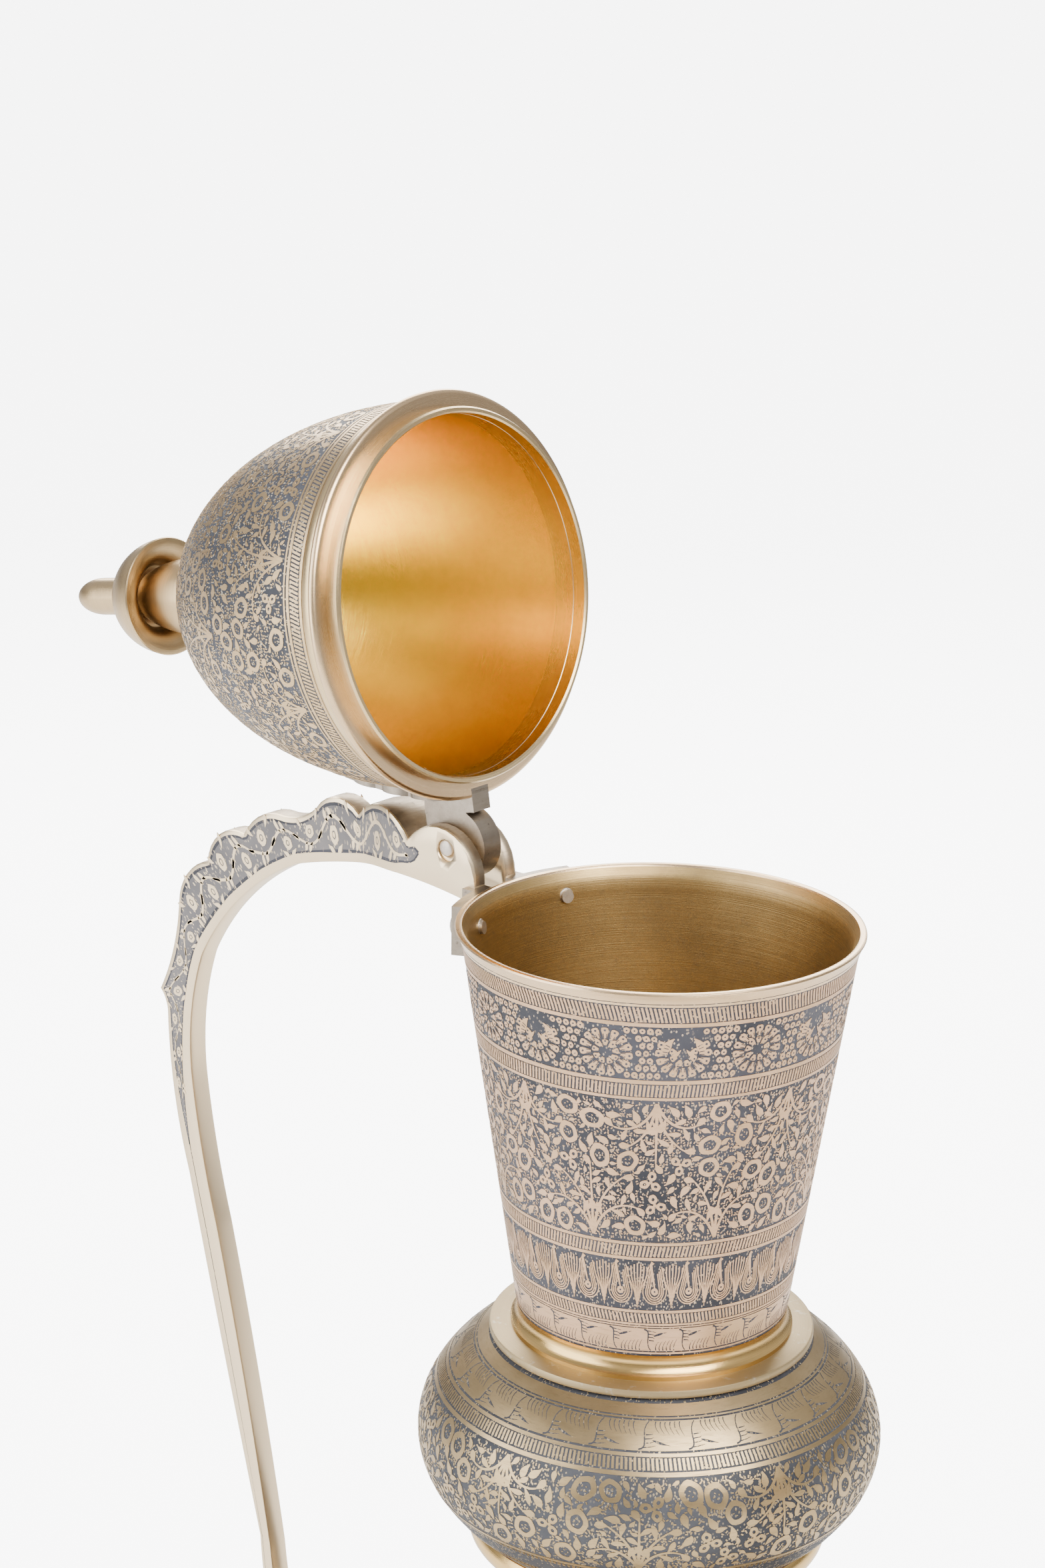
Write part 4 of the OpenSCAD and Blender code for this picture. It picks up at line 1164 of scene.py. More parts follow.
class Bulb:
    """The rounded neck piece under the flange, with its collar."""

    def __init__(self, sizes: BodySizes) -> None:
        """Keeps the sizes."""
        self.s = sizes

    def build(self) -> None:
        """Turns the bulb's shell and the collar."""
        s = self.s
        a, b = angle_at(s.bulb_foot_r, s.bulb_r), angle_at(s.bulb_top_r, s.bulb_r)
        outer = numbered(oval(s.bulb_r - CHASED, s.bulb_hh - CHASED, s.bulb_z, -a, b, 60), 0)
        inner = numbered(reversed(oval(s.bulb_r - s.wall, s.bulb_hh - s.wall, s.bulb_z, -a, b, 60)), 1)
        bulb = lathe("neck_bulb_shell", outer + inner, [Metal.BULB_GROUND.material(), Metal.SHELL_INSIDE.material()])
        seat(bulb, "pot", "engraved_brass", "neck_bulb")
        ring = [(s.bulb_foot_r - 3 - s.wall, s.collar_z)] + arc((s.bulb_foot_r - 2, s.collar_z), (s.bulb_foot_r + 0.4, s.bulb_foot_z), -s.collar_t, 14)
        ring += [(s.bulb_foot_r + 0.4, s.bulb_foot_z), (s.bulb_foot_r - s.wall - 1.6, s.bulb_foot_z)]
        collar = lathe("waist_collar_turned", numbered(ring, 0), [Metal.FILLET.material()])
        seat(collar, "pot", "polished_brass", "waist_collar")

    def dress(self) -> None:
        """Lays the bands on the bulb, from the flange outwards and down."""
        s = self.s
        a, b = angle_at(s.bulb_foot_r, s.bulb_r), angle_at(s.bulb_top_r, s.bulb_r)
        line = list(reversed(oval(s.bulb_r, s.bulb_hh, s.bulb_z, -a, b, 60)))
        surface = TurnedSurface(line, 42.0)

        def y(radius: float) -> float:
            """Length along the profile at a radius of the upper half."""
            return surface.at_height(s.bulb_z + s.bulb_hh * math.sqrt(max(0.0, 1 - (radius / s.bulb_r) ** 2)))

        d = Dresser("bulb", surface, "pot", Metal.BULB_FIGURE, "engraved_brass")
        d.line(y(30.6), y(32.7))
        d.line(y(32.95), y(33.2))
        d.line(y(33.5), y(37.85))
        count = 26
        cuts = Pattern()
        leaf_wave(cuts, TAU * surface.reference / count, y(33.5), y(37.85), -1)
        d.repeat("leaf_cuts", cuts, count, -0.06, 0.02, Metal.BULB_GROUND)
        d.line(y(38.15), y(38.6))
        d.hatching("hatch_top", y(38.75), y(40.1), 0.80, 0.18)
        d.line(y(40.3), y(40.75))
        top = y(40.9)
        low = surface.at_height(s.bulb_z - s.bulb_hh * 0.30)
        f = Field(TAU * surface.reference / 5, low - top, 29, 1.05)
        w, h = f.width, f.height
        for x, yy, up, reach, stems, spread in ((w * 0.25, h - 0.5, -math.pi / 2, 11.5, 5, 1.05), (w * 0.75, 0.5, math.pi / 2, 11.5, 5, 1.05)):
            f.spray(x, yy, up, reach, stems, spread)
        f.fill(9, 5, 26)
        f.tool_marks(0.7)
        d.field("arabesque", f, top, 5)
        d.line(low + 0.15, low + 0.8)
        d.hatching("hatch_low", low + 1.0, surface.length - 0.9, 0.85, 0.4)
        d.line(surface.length - 0.75, surface.length - 0.1)
        d.close()


class Belly:
    """The big lower body, its foot and the waisted neck over it."""

    def __init__(self, sizes: BodySizes) -> None:
        """Keeps the sizes."""
        self.s = sizes

    def waist_line(self) -> list[Pt]:
        """Outer profile of the waisted neck, from its foot up."""
        s = self.s
        drop, rise, low = s.belly_top_r - s.waist_r, s.bulb_foot_r - 2 - s.waist_r, s.waist_h * 0.36
        quarter = [math.radians(90 * i / 28) for i in range(29)]
        line = [(s.belly_top_r - drop * math.sin(t), s.waist_z + low * (1 - math.cos(t))) for t in quarter]
        return line + [(s.waist_r + rise * (1 - math.cos(t)), s.waist_z + low + (s.waist_h - low) * math.sin(t)) for t in quarter[1:]]

    def build(self) -> None:
        """Turns foot, base, belly and waist."""
        s = self.s
        a, b = angle_at(s.belly_foot_r, s.belly_r), angle_at(s.belly_top_r, s.belly_r)
        ground, inside, plain = Metal.BULB_GROUND.material(), Metal.SHELL_INSIDE.material(), Metal.BODY.material()
        for name, lo, hi in (("belly_lower", -a, 0), ("belly_upper", 0, b)):
            loop = numbered(oval(s.belly_r - CHASED, s.belly_hh - CHASED, s.belly_z, lo, hi, 60), 0) + numbered(reversed(oval(s.belly_r - s.wall, s.belly_hh - s.wall, s.belly_z, lo, hi, 60)), 1)
            shell = lathe(name + "_shell", loop, [ground, inside])
            seat(shell, "pot", "engraved_brass", name)
        half = s.band_h / 2
        out = arc((s.belly_r - 0.3, s.belly_z - half), (s.belly_r - 0.3, s.belly_z + half), -s.band_t - 0.3, 12) + [(s.belly_r - 0.3, s.belly_z + half)]
        band = lathe("belly_band_turned", numbered(out + [(s.belly_r - 0.5, s.belly_z + half), (s.belly_r - 0.5, s.belly_z - half)], 0), [Metal.FILLET.material()])
        seat(band, "pot", "polished_brass", "belly_band")
        out = self.waist_line()
        waist = lathe("waist_neck_shell", numbered([(r - CHASED, z) for r, z in out], 0) + numbered([(r - s.wall, z) for r, z in reversed(out)], 1), [ground, inside])
        seat(waist, "pot", "engraved_brass", "waist_neck")
        skirt = arc((s.foot_r - 1.2, s.foot_rim_h), (s.belly_foot_r, s.foot_h), 2, 14) + [(s.belly_foot_r, s.foot_h)]
        foot = lathe("foot_skirt_turned", numbered(skirt, 0) + numbered([(r - s.wall, z) for r, z in reversed(skirt)], 1), [plain, inside])
        seat(foot, "pot", "polished_brass", "foot_skirt")
        rim = [(s.foot_r - 5, 0), (s.foot_r + 0.2, 0)] + arc((s.foot_r + 0.6, 0.4), (s.foot_r - 0.2, s.foot_rim_h), -1, 10) + [(s.foot_r - 0.2, s.foot_rim_h), (s.foot_r - 5, s.foot_rim_h)]
        ring = lathe("foot_rim_turned", numbered(rim, 0), [Metal.FILLET.material()])
        seat(ring, "pot", "polished_brass", "foot_rim")
        r, t = s.belly_foot_r - s.wall - 0.05, s.wall
        disc = [(0, s.foot_h), (r * 0.4, s.foot_h), (r * 0.42, s.foot_h + 0.15), (r - 0.3, s.foot_h), (r, s.foot_h + 0.3), (r, s.foot_h + t - 0.3), (r - 0.3, s.foot_h + t), (0, s.foot_h + t)]
        base = lathe("belly_base_disc", numbered(disc, 0), [inside])
        seat(base, "pot", "polished_brass", "belly_base")

    def dress(self) -> None:
        """Lays the bands on the belly and the waist."""
        s = self.s
        a, b = angle_at(s.belly_foot_r, s.belly_r), angle_at(s.belly_top_r, s.belly_r)
        upper = TurnedSurface(list(reversed(oval(s.belly_r, s.belly_hh, s.belly_z, 0, b, 60))), 64.0)
        d = Dresser("belly_upper", upper, "pot", Metal.BULB_FIGURE, "engraved_brass")
        n = upper.length
        d.line(0.4, 1.6)
        d.hatching("hatch_top", 1.9, 4.6, 0.95, 0.5)
        d.line(4.9, 5.7)
        d.line(6.1, 11.6)
        cuts = Pattern()
        leaf_wave(cuts, TAU * upper.reference / 30, 6.1, 11.6, -1)
        d.repeat("leaf_cuts", cuts, 30, -0.06, 0.02, Metal.BULB_GROUND)
        d.line(12.0, 12.8)
        f = Field(TAU * upper.reference / 6, n - 14.6 - 11.6, 53, 1.25)
        w, h = f.width, f.height
        f.spray(w * 0.25, h - 0.6, -math.pi / 2, h * 0.62, 5, 0.9)
        f.spray(w * 0.75, 0.6, math.pi / 2, h * 0.55, 5, 0.9)
        f.spray(w * 0.78, h - 0.6, -math.pi / 2, h * 0.34, 3, 0.9)
        f.fill(18, 12, 44)
        f.tool_marks(0.85)
        d.field("arabesque", f, 13.3, 6)
        y = 13.3 + h
        d.line(y + 0.4, y + 1.1)
        d.hatching("hatch_low", y + 1.4, y + 4.0, 0.98, -0.5)
        d.line(y + 4.3, y + 5.0)
        d.line(y + 5.4, n - 3.9)
        cuts = Pattern()
        leaf_wave(cuts, TAU * upper.reference / 46, y + 5.4, n - 3.9, 1)
        d.repeat("leaf_cuts_low", cuts, 46, -0.06, 0.02, Metal.BULB_GROUND)
        d.close()
        lower = TurnedSurface(list(reversed(oval(s.belly_r, s.belly_hh, s.belly_z, -a, 0, 60))), 66.0)
        d = Dresser("belly_lower", lower, "pot", Metal.BULB_FIGURE, "engraved_brass")
        n = lower.length
        d.line(3.6, 4.4)
        d.hatching("hatch_top", 4.7, 7.3, 0.98, 0.5)
        d.line(7.6, 8.4)
        f = Field(TAU * lower.reference / 8, n - 9.0 - 12.2, 67, 1.25)
        w, h = f.width, f.height
        f.spray(w * 0.3, 0.6, math.pi / 2, h * 0.6, 5, 0.9)
        f.spray(w * 0.8, h - 0.6, -math.pi / 2, h * 0.55, 3, 0.8)
        f.fill(12, 8, 32)
        f.tool_marks(0.85)
        d.field("arabesque", f, 9.0, 8)
        y = 9.0 + h
        d.line(y + 0.4, y + 1.1)
        d.hatching("hatch_low", y + 1.4, y + 4.2, 0.98, 0.5)
        d.line(y + 4.5, y + 5.2)
        d.line(y + 5.6, n - 0.3)
        d.close()
        line = list(reversed(self.waist_line()))
        waist = TurnedSurface(line, 29.0)
        d = Dresser("waist", waist, "pot", Metal.BULB_FIGURE, "engraved_brass")
        n = waist.length
        d.line(0.3, 1.3)
        d.hatching("hatch_top", 1.6, 4.2, 0.85, 0.4)
        d.line(4.5, 5.2)
        f = Field(TAU * waist.reference / 5, n - 5.6 - 5.6, 71, 1.0)
        f.spray(f.width * 0.5, f.height - 0.5, -math.pi / 2, f.height * 0.6, 5, 0.95)
        f.spray(f.width * 0.02, 0.5, math.pi / 2, f.height * 0.5, 3, 0.8)
        f.fill(9, 5, 24)
        f.tool_marks(0.72)
        d.field("arabesque", f, 5.6, 5)
        d.line(n - 5.2, n - 4.5)
        d.hatching("hatch_low", n - 4.2, n - 1.6, 0.85, -0.4)
        d.line(n - 1.3, n - 0.3)
        d.close()


@dataclass
class LidSizes:
    """Sizes of the lid and its finial, in its own frame with z = 0 on the rim, in millimetres."""

    bead_z: float = 0.3
    bead_h: float = 2.0
    edge_h: float = 2.6
    dome_h: float = 60.0
    lip_h: float = 2.9
    lip_r: float = 35.047
    bead_r: float = 38.4
    stem_r: float = 7.6
    stem_h: float = 18.4
    dish_r: float = 11.9
    dish_h: float = 12.0
    tip_r: float = 3.8
    tip_h: float = 15.3
    pin_x: float = 47.4
    pin_up: float = 5.7
    swing: float = 99.3

    @property
    def dome_z(self) -> float:
        """Height of the dome's foot."""
        return self.bead_z + self.bead_h + self.edge_h

    @property
    def dome_r(self) -> float:
        """Radius of the dome's foot."""
        return self.bead_r - 1.8

    def opened(self, rim_z: float) -> Matrix:
        """The move from the lid's own frame to its open stop, in metres."""
        pin = Vector((-self.pin_x * MM, 0, (rim_z + self.pin_up) * MM))
        turn = Matrix.Rotation(math.radians(-self.swing), 4, "Y")
        return Matrix.Translation(pin) @ turn @ Matrix.Translation(Vector((self.pin_x * MM, 0, -self.pin_up * MM)))


class Lid:
    """The tall domed lid with its bead, edge band and finial."""

    def __init__(self, sizes: LidSizes, rim_z: float) -> None:
        """Keeps the sizes and works out where the open lid is."""
        self.s, self.place = sizes, sizes.opened(rim_z)

    def build(self) -> None:
        """Turns the shells."""
        s = self.s
        r, h, z, wall = s.dome_r, s.dome_h, s.dome_z, 1.4
        top = 89.0
        outer = numbered(oval(r - CHASED, h - CHASED, z, 0, top, 90), 0) + [(0, z + h - CHASED, 1)]
        inner = [(0, z + h - wall, 1)] + numbered(reversed(oval(r - wall, h - wall, z, 0, top, 90)), 1)
        dome = lathe("lid_dome_shell", outer + inner, [Metal.LID_GROUND.material(), Metal.LID_INSIDE.material()], self.place)
        seat(dome, "lid", "engraved_brass", "lid_dome")
        bore = s.lip_r - 1.2
        edge_z = s.bead_z + s.bead_h
        bead = [(bore, s.bead_z + 0.2), (bore + 0.2, s.bead_z)] + arc((s.bead_r - 0.9, s.bead_z), (s.bead_r - 0.9, edge_z - 0.25), -0.85, 12)
        bead += [(s.bead_r - 0.9, edge_z - 0.25), (s.bead_r - 1.5, edge_z), (bore, edge_z)]
        seat(lathe("lid_bead_turned", numbered(bead, 0), [Metal.LIP.material()], self.place), "lid", "polished_brass", "lid_bead")
        edge = [(bore, edge_z), (s.bead_r - 1.6, edge_z), (s.bead_r - 1.45, edge_z + 0.2)] + arc((s.bead_r - 1.22, edge_z + 0.35), (s.dome_r, s.dome_z), -0.2, 8)
        edge += [(s.dome_r, s.dome_z), (bore, s.dome_z)]
        seat(lathe("lid_edge_band_turned", numbered(edge, 0), [Metal.LID_EDGE.material()], self.place), "lid", "polished_brass", "lid_edge_band")
        low = s.bead_z - s.lip_h
        lip = [(bore, s.bead_z), (bore, low + 0.3), (bore + 0.3, low), (s.lip_r - 0.3, low), (s.lip_r, low + 0.4), (s.lip_r, s.bead_z)]
        seat(lathe("lid_locating_lip_turned", numbered(lip, 0), [Metal.LID_EDGE.material()], self.place), "lid", "polished_brass", "lid_locating_lip")
        self.finial()

    def finial(self) -> None:
        """Turns the finial's three pieces."""
        s = self.s
        metal = Metal.FINIAL.material()
        stem_z = s.dome_z + s.dome_h - 1.3
        dish_z = stem_z + s.stem_h - 4
        tip_z = dish_z + s.dish_h - 1
        stem = [(0, stem_z - 0.8), (s.stem_r - 1, stem_z - 0.8), (s.stem_r + 1.4, stem_z - 1)] + arc((s.stem_r + 1.4, stem_z - 1), (s.stem_r, stem_z + 2.6), 0.8, 10)
        stem += arc((s.stem_r, stem_z + 2.6), (s.stem_r - 2.4, stem_z + s.stem_h), -1, 12) + [(s.stem_r - 2.4, stem_z + s.stem_h), (0, stem_z + s.stem_h)]
        seat(lathe("finial_stem_turned", numbered(stem, 0), [metal], self.place), "lid", "polished_brass", "finial_stem")
        under = stem_z + s.stem_h + 0.02
        dish = [(0, under), (s.stem_r - 1.4, under)] + arc((s.stem_r - 1.4, under), (s.dish_r - 0.8, dish_z), -1.2, 12)
        dish += [(s.dish_r - 0.8, dish_z), (s.dish_r - 0.2, dish_z + 0.1), (s.dish_r, dish_z + 0.35)]
        dish += arc((s.dish_r - 0.1, dish_z + 0.7), (s.tip_r + 0.7, dish_z + s.dish_h - 1), -1.6, 20) + [(s.tip_r + 0.7, dish_z + s.dish_h - 1), (0, dish_z + s.dish_h - 1)]
        seat(lathe("finial_dish_turned", numbered(dish, 0), [metal], self.place), "lid", "polished_brass", "finial_dish")
        straight = s.tip_h - s.tip_r * 1.9
        tip = [(0, tip_z), (s.tip_r + 0.15, tip_z), (s.tip_r + 0.3, tip_z + 0.2), (s.tip_r + 0.3, tip_z + 0.8), (s.tip_r, tip_z + 1.2)]
        tip += [(s.tip_r * math.cos(t), tip_z + straight + s.tip_r * 1.9 * math.sin(t)) for t in [math.pi / 2 * i / 20 for i in range(20)]]
        tip += [(0, tip_z + s.tip_h)]
        seat(lathe("finial_tip_turned", numbered(tip, 0), [metal], self.place), "lid", "polished_brass", "finial_tip")

    def dress(self) -> None:
        """Lays the hatch and the three tiers of sprays on the dome."""
        s = self.s
        surface = TurnedSurface(oval(s.dome_r, s.dome_h, s.dome_z, 0, 84, 90), 33.0)
        d = Dresser("lid", surface, "lid", Metal.LID_FIGURE, "engraved_brass", self.place)
        d.line(0.1, 0.7)
        d.hatching("hatch", 0.95, 3.1, 0.78, 0.7)
        d.line(3.35, 4.0)
        d.line(4.4, 4.8)
        y = 5.1
        for tier, (share, count, seed, stems, scale) in enumerate(((0.36, 4, 83, 4, 0.95), (0.34, 3, 89, 4, 0.9), (0.27, 2, 97, 3, 0.8))):
            height = (surface.length - 8.0) * share
            radius = surface.at(y + height * 0.5)[0].x
            own = TurnedSurface(oval(s.dome_r, s.dome_h, s.dome_z, 0, 84, 90), radius)
            t = Dresser(f"lid_tier_{tier}", own, "lid", Metal.LID_FIGURE, "engraved_brass", self.place)
            f = Field(TAU * radius / count, height, seed, scale)
            f.spray(f.width * 0.22, 0.4, math.pi / 2, height * 0.72, stems, 0.85)
            f.spray(f.width * 0.72, 0.4, math.pi / 2 + 0.1, height * 0.62, stems, 0.9)
            if tier < 1:
                f.spray(f.width * 0.5, height - 0.4, -math.pi / 2, height * 0.36, 3, 0.95)
            f.fill(12 - 3 * tier, 7 - 2 * tier, 34)
            f.tool_marks(0.64)
            t.field("arabesque", f, y, count)
            y += height
        d.line(y + 0.1, y + 0.6)
        d.line(surface.length - 0.9, surface.length - 0.2)
        d.close()


@dataclass
class HandleSizes:
    """Sizes of the handle; its points are out from the rim, up from the rim, bulge to the next, in millimetres."""

    stem_w: float = 4.9
    fork_w: float = 12.0
    fork_out: float = 19.9
    fork_taper: float = 16.5
    slot_x: float = 8.0
    cheek_gap: float = 6.0
    pin_r: float = 1.6
    recess_d: float = 0.9
    recess_r: float = 2.2
    foot_drop: float = 24.0
    foot_t: float = 6.0
    pad_t: float = 1.8
    crest: tuple[tuple[float, float, float], ...] = (
        (2.2, -0.2, 6.7), (19.2, 5.8, 4.2), (35.3, 6.5, 2.8), (46.8, 5.4, -0.9), (55.7, 1.9, 2.0), (66.7, -4.1, 3.1),
        (77.1, -12.1, 2.3), (85.7, -22.7, -1.1), (91.6, -42.8, -0.4), (89.6, -47.1, 1.3), (84.1, -81.7, 0.2), (64.3, -159.8, 10))
    inner: tuple[tuple[float, float, float], ...] = (
        (2.2, -4.1, 0.4), (21.4, -1.9, 0.9), (52, -7.3, 3.0), (79, -32.5, 1.7), (82.5, -60.6, 0.6), (76, -91.6, -0.6), (61.1, -161.7, 8.5))


class HandleSurface(Surface):
    """A flat side of the handle: x runs along it and y across, from the crest to the inner edge."""

    def __init__(self, handle: "Handle", side: int, height: float, crest_gap: float, inner_gap: float) -> None:
        """Keeps the stations.

        Args:
            handle: the handle. side: -1 or 1 along Y. height: the flat height of the ornament.
            crest_gap, inner_gap: plain margins at the two edges, in millimetres.
        """
        self.h, self.side, self.height = handle, side, height
        self.gaps = (crest_gap, inner_gap)

    def place(self, x: float, y: float, lift: float) -> tuple[float, float, float]:
        """Point at length x along the handle."""
        h = self.h
        k = min(max(float(np.interp(x, h.reach, np.arange(len(h.reach)))), 0), len(h.reach) - 1.001)
        i, f = int(k), k - int(k)
        c = h.crest[i] * (1 - f) + h.crest[i + 1] * f
        n = h.inner[i] * (1 - f) + h.inner[i + 1] * f
        across = n - c
        depth = float(np.hypot(*across))
        a, b = self.gaps
        share = (a + (depth - a - b) * y / self.height) / depth
        p = c + across * share
        return (-p[0], self.side * (h.half_width(p[0]) + lift), p[1])


class Handle:
    """The scalloped loop handle with the fork at its top."""

    def __init__(self, sizes: HandleSizes, body: BodySizes, lid: LidSizes) -> None:
        """Works out matching stations along the crest and the inner edge."""
        self.s, self.b, self.l = sizes, body, lid
        foot_y = body.belly_z - sizes.foot_drop - body.rim_z
        end = (body.belly_r - 14 - body.rim_r, foot_y)
        crest = self.run(sizes.crest, (end[0], end[1] - sizes.foot_t / 2))
        inner = self.run(sizes.inner, (end[0], end[1] + sizes.foot_t / 2))
        self.crest = np.array([(x + body.rim_r, y + body.rim_z) for x, y in crest])
        line = np.array([(x + body.rim_r, y + body.rim_z) for x, y in inner])
        self.inner = self.match(self.crest, line)
        middle = (self.crest + self.inner) / 2
        self.reach = np.concatenate([[0.0], np.cumsum(np.hypot(*np.diff(middle, axis=0).T))])

    @staticmethod
    def run(points: Sequence[tuple[float, float, float]], end: Pt) -> list[Pt]:
        """Joins points with arcs and cuts the result into short chords."""
        out: list[Pt] = []
        for p, q in zip(points, list(points[1:]) + [(*end, 0.0)]):
            n = max(6, int(math.hypot(q[0] - p[0], q[1] - p[1]) / 1.6))
            piece = arc(p[:2], q[:2], p[2], n)
            out += piece if len(piece) > 1 else [(p[0] + (q[0] - p[0]) * i / n, p[1] + (q[1] - p[1]) * i / n) for i in range(n)]
        return out + [end]

    @staticmethod
    def match(crest: np.ndarray, line: np.ndarray) -> np.ndarray:
        """For each crest point, the nearest point of the inner line, kept in order and evened out."""
        fine = np.concatenate([[0.0], np.cumsum(np.hypot(*np.diff(line, axis=0).T))])
        grid = np.linspace(0, fine[-1], 3000)
        dense = np.stack([np.interp(grid, fine, line[:, k]) for k in (0, 1)], axis=1)
        near = np.array([grid[np.argmin(np.hypot(*(dense - p).T))] for p in crest])
        near[0], near[-1] = 0.0, fine[-1]
        near = np.maximum.accumulate(np.minimum(near, fine[-1]))
        pad = 7
        wide = np.concatenate([2 * near[0] - near[pad:0:-1], near, 2 * near[-1] - near[-2:-pad - 2:-1]])
        even = np.convolve(wide, np.ones(2 * pad + 1) / (2 * pad + 1), "valid")
        even[0], even[-1] = 0.0, fine[-1]
        even = np.clip(np.maximum.accumulate(even), 0, fine[-1])
        return np.stack([np.interp(even, fine, line[:, k]) for k in (0, 1)], axis=1)

    def half_width(self, x: float) -> float:
        """Half the handle's width at distance x from the body's axis."""
        s = self.s
        t = min(max((x - self.b.rim_r - s.fork_out) / s.fork_taper, 0.0), 1.0)
        return s.fork_w / 2 - (s.fork_w - s.stem_w) / 2 * (1 - math.cos(math.pi * t)) / 2

    def build(self) -> None:
        """Builds the handle from its stations, cuts the slot and the holes and seats it."""
        soft = 0.55
        bin_ = MeshBin()
        loops = []
        for i, (c, n) in enumerate(zip(self.crest, self.inner)):
            depth = float(np.hypot(*(n - c)))
            b = min(soft, depth * 0.2)
            section = [(0, -1, b), (b * 0.3, -1, b * 0.3), (b, -1, 0), (depth * 0.35, -1, 0), (depth * 0.65, -1, 0), (depth - b, -1, 0), (depth - b * 0.3, -1, b * 0.3), (depth, -1, b)]
            section += [(d, 1, e) for d, _, e in reversed(section)]
            start = len(bin_.verts)
            for d, side, inset in section:
                p = c + (n - c) * d / depth
                bin_.verts.append((-p[0], side * (self.half_width(p[0]) - inset), p[1]))
            loops.append((start, len(section)))
        for k, ((a, m), (b, _)) in enumerate(zip(loops, loops[1:])):
            for i in range(m):
                j = (i + 1) % m
                bin_.faces.append((a + i, a + j, b + j, b + i))
                bin_.uvs.append(((self.reach[k], i), (self.reach[k], i + 1), (self.reach[k + 1], i + 1), (self.reach[k + 1], i)))
                # Slot 1, the face across the crest, takes the darker copy of the handle brass that paints the crest's
                # shade.
                bin_.slots.append(1 if i == m - 1 else 0)
        for (a, m), order in ((loops[0], -1), (loops[-1], 1)):
            bin_.faces.append(tuple(a + i for i in range(m))[::order])
            bin_.uvs.append(tuple((0.0, float(i)) for i in range(m)))
            bin_.slots.append(0)
        handle = bin_.make("handle_loop", [Metal.HANDLE.material(), Metal.CREST_PAINTED_SHADE.material()], None, 28)
        s, b, l = self.s, self.b, self.l
        pin_z = b.rim_z + l.pin_up
        cutters = [self.block("slot", (-l.pin_x - s.slot_x, -s.cheek_gap / 2, b.rim_z - 20), (-b.rim_r - 0.4, s.cheek_gap / 2, b.rim_z + 40)),
                   lathe("well", [(0, b.rim_z - 20, 0), (b.rim_r + 0.05, b.rim_z - 20, 0), (b.rim_r + 0.05, b.rim_z + 30, 0), (0, b.rim_z + 30, 0)], [])]
        swell = s.pad_t + 0.1
        ovals = oval(b.belly_r + swell, b.belly_hh + swell, b.belly_z, -89, 89, 90)
        cutters.append(lathe("belly_room", [(0, b.belly_z - b.belly_hh - swell, 0)] + numbered(ovals, 0) + [(0, b.belly_z + b.belly_hh + swell, 0)], []))
        for tag, r, x, z, y0, y1 in (("pin_room", s.pin_r + 0.05, l.pin_x, pin_z, -9, 9), ("recess", s.recess_r, l.pin_x - 0.4, pin_z - 0.3, -9, -s.fork_w / 2 + s.recess_d)):
            turn = Matrix.Translation((-x * MM, 0, z * MM)) @ Matrix.Rotation(math.radians(-90), 4, "X")
            cutters.append(lathe(tag, [(0, y0, 0), (r, y0, 0), (r, y1, 0), (0, y1, 0)], [], turn, 48))
        self.cut(handle, cutters)
        seat(handle, "pot", "handle_brass", "handle")

    @staticmethod
    def block(name: str, low: Sequence[float], high: Sequence[float]) -> bpy.types.Object:
        """A plain cutting block between two corners."""
        bin_ = MeshBin()
        bin_.verts = [(x, y, z) for x in (low[0], high[0]) for y in (low[1], high[1]) for z in (low[2], high[2])]
        bin_.faces = [(0, 1, 3, 2), (4, 6, 7, 5), (0, 4, 5, 1), (2, 3, 7, 6), (0, 2, 6, 4), (1, 5, 7, 3)]
        bin_.uvs = [((0, 0), (1, 0), (1, 1), (0, 1))] * 6
        return bin_.make(name, [])

    @staticmethod
    def cut(obj: bpy.types.Object, cutters: Sequence[bpy.types.Object]) -> None:
        """Takes the cutters out of a piece and removes them."""
        for cutter in cutters:
            mod = obj.modifiers.new("cut", "BOOLEAN")
            mod.operation, mod.solver, mod.object = "DIFFERENCE", "EXACT", cutter
        bpy.context.view_layer.update()
        mesh = bpy.data.meshes.new_from_object(obj.evaluated_get(bpy.context.evaluated_depsgraph_get()))
        obj.modifiers.clear()
        obj.data = mesh
        for cutter in cutters:
            bpy.data.objects.remove(cutter)

    def dress(self) -> None:
        """Lays the chased strip along both sides."""
        start = float(np.interp(54.0, self.crest[:, 0], self.reach))
        turn_back = int(np.argmax(self.crest[:, 0]))
        end = float(self.reach[turn_back]) + 33.0
        last = float(self.reach[-1]) - 26.0
        high = 4.6
        for side in (-1, 1):
            surface = HandleSurface(self, side, high, 1.4, 2.4)
            ground, figures, lines = Pattern(), Pattern(), Pattern()
            steps = int((end - start) / 1.1)
            span = [start + (end - start) * i / steps for i in range(steps + 1)]
            swell = [min(1.0, math.sqrt(max(0.0, (x - start) / 7.0)), (end - x) / 22.0 + 0.05) for x in span]
            top = [(x, high / 2 - high / 2 * w) for x, w in zip(span, swell)]
            foot = [(x, high / 2 + high / 2 * w) for x, w in zip(span, swell)]
            ground.ribbons.append((top, foot, False))
            self.vine(figures, start + 3.0, end - 10.0, high)
            lines.stroke([(x, y - 0.06) for x, y in top], lambda t: 0.34)
            lines.stroke([(x, y + 0.06) for x, y in foot], lambda t: 0.34)
            lines.stroke([(end - 1 + (last - end) * i / 60, high / 2) for i in range(61)], lambda t: 0.42 * (1 - 0.5 * t))
            tag = "near" if side < 0 else "far"
            for name, pattern, low, top_lift, metal in (("ground", ground, -0.12, 0.008, Metal.STRIP_GROUND), ("vine", figures, -0.1, 0.07, Metal.HANDLE), ("lines", lines, -0.1, 0.03, Metal.CUP_GROUND)):
                obj = MeshBin().lay(surface, pattern, low, top_lift).make(f"handle_{name}_{tag}", [metal.material()])
                seat(obj, "pot", "handle_brass")

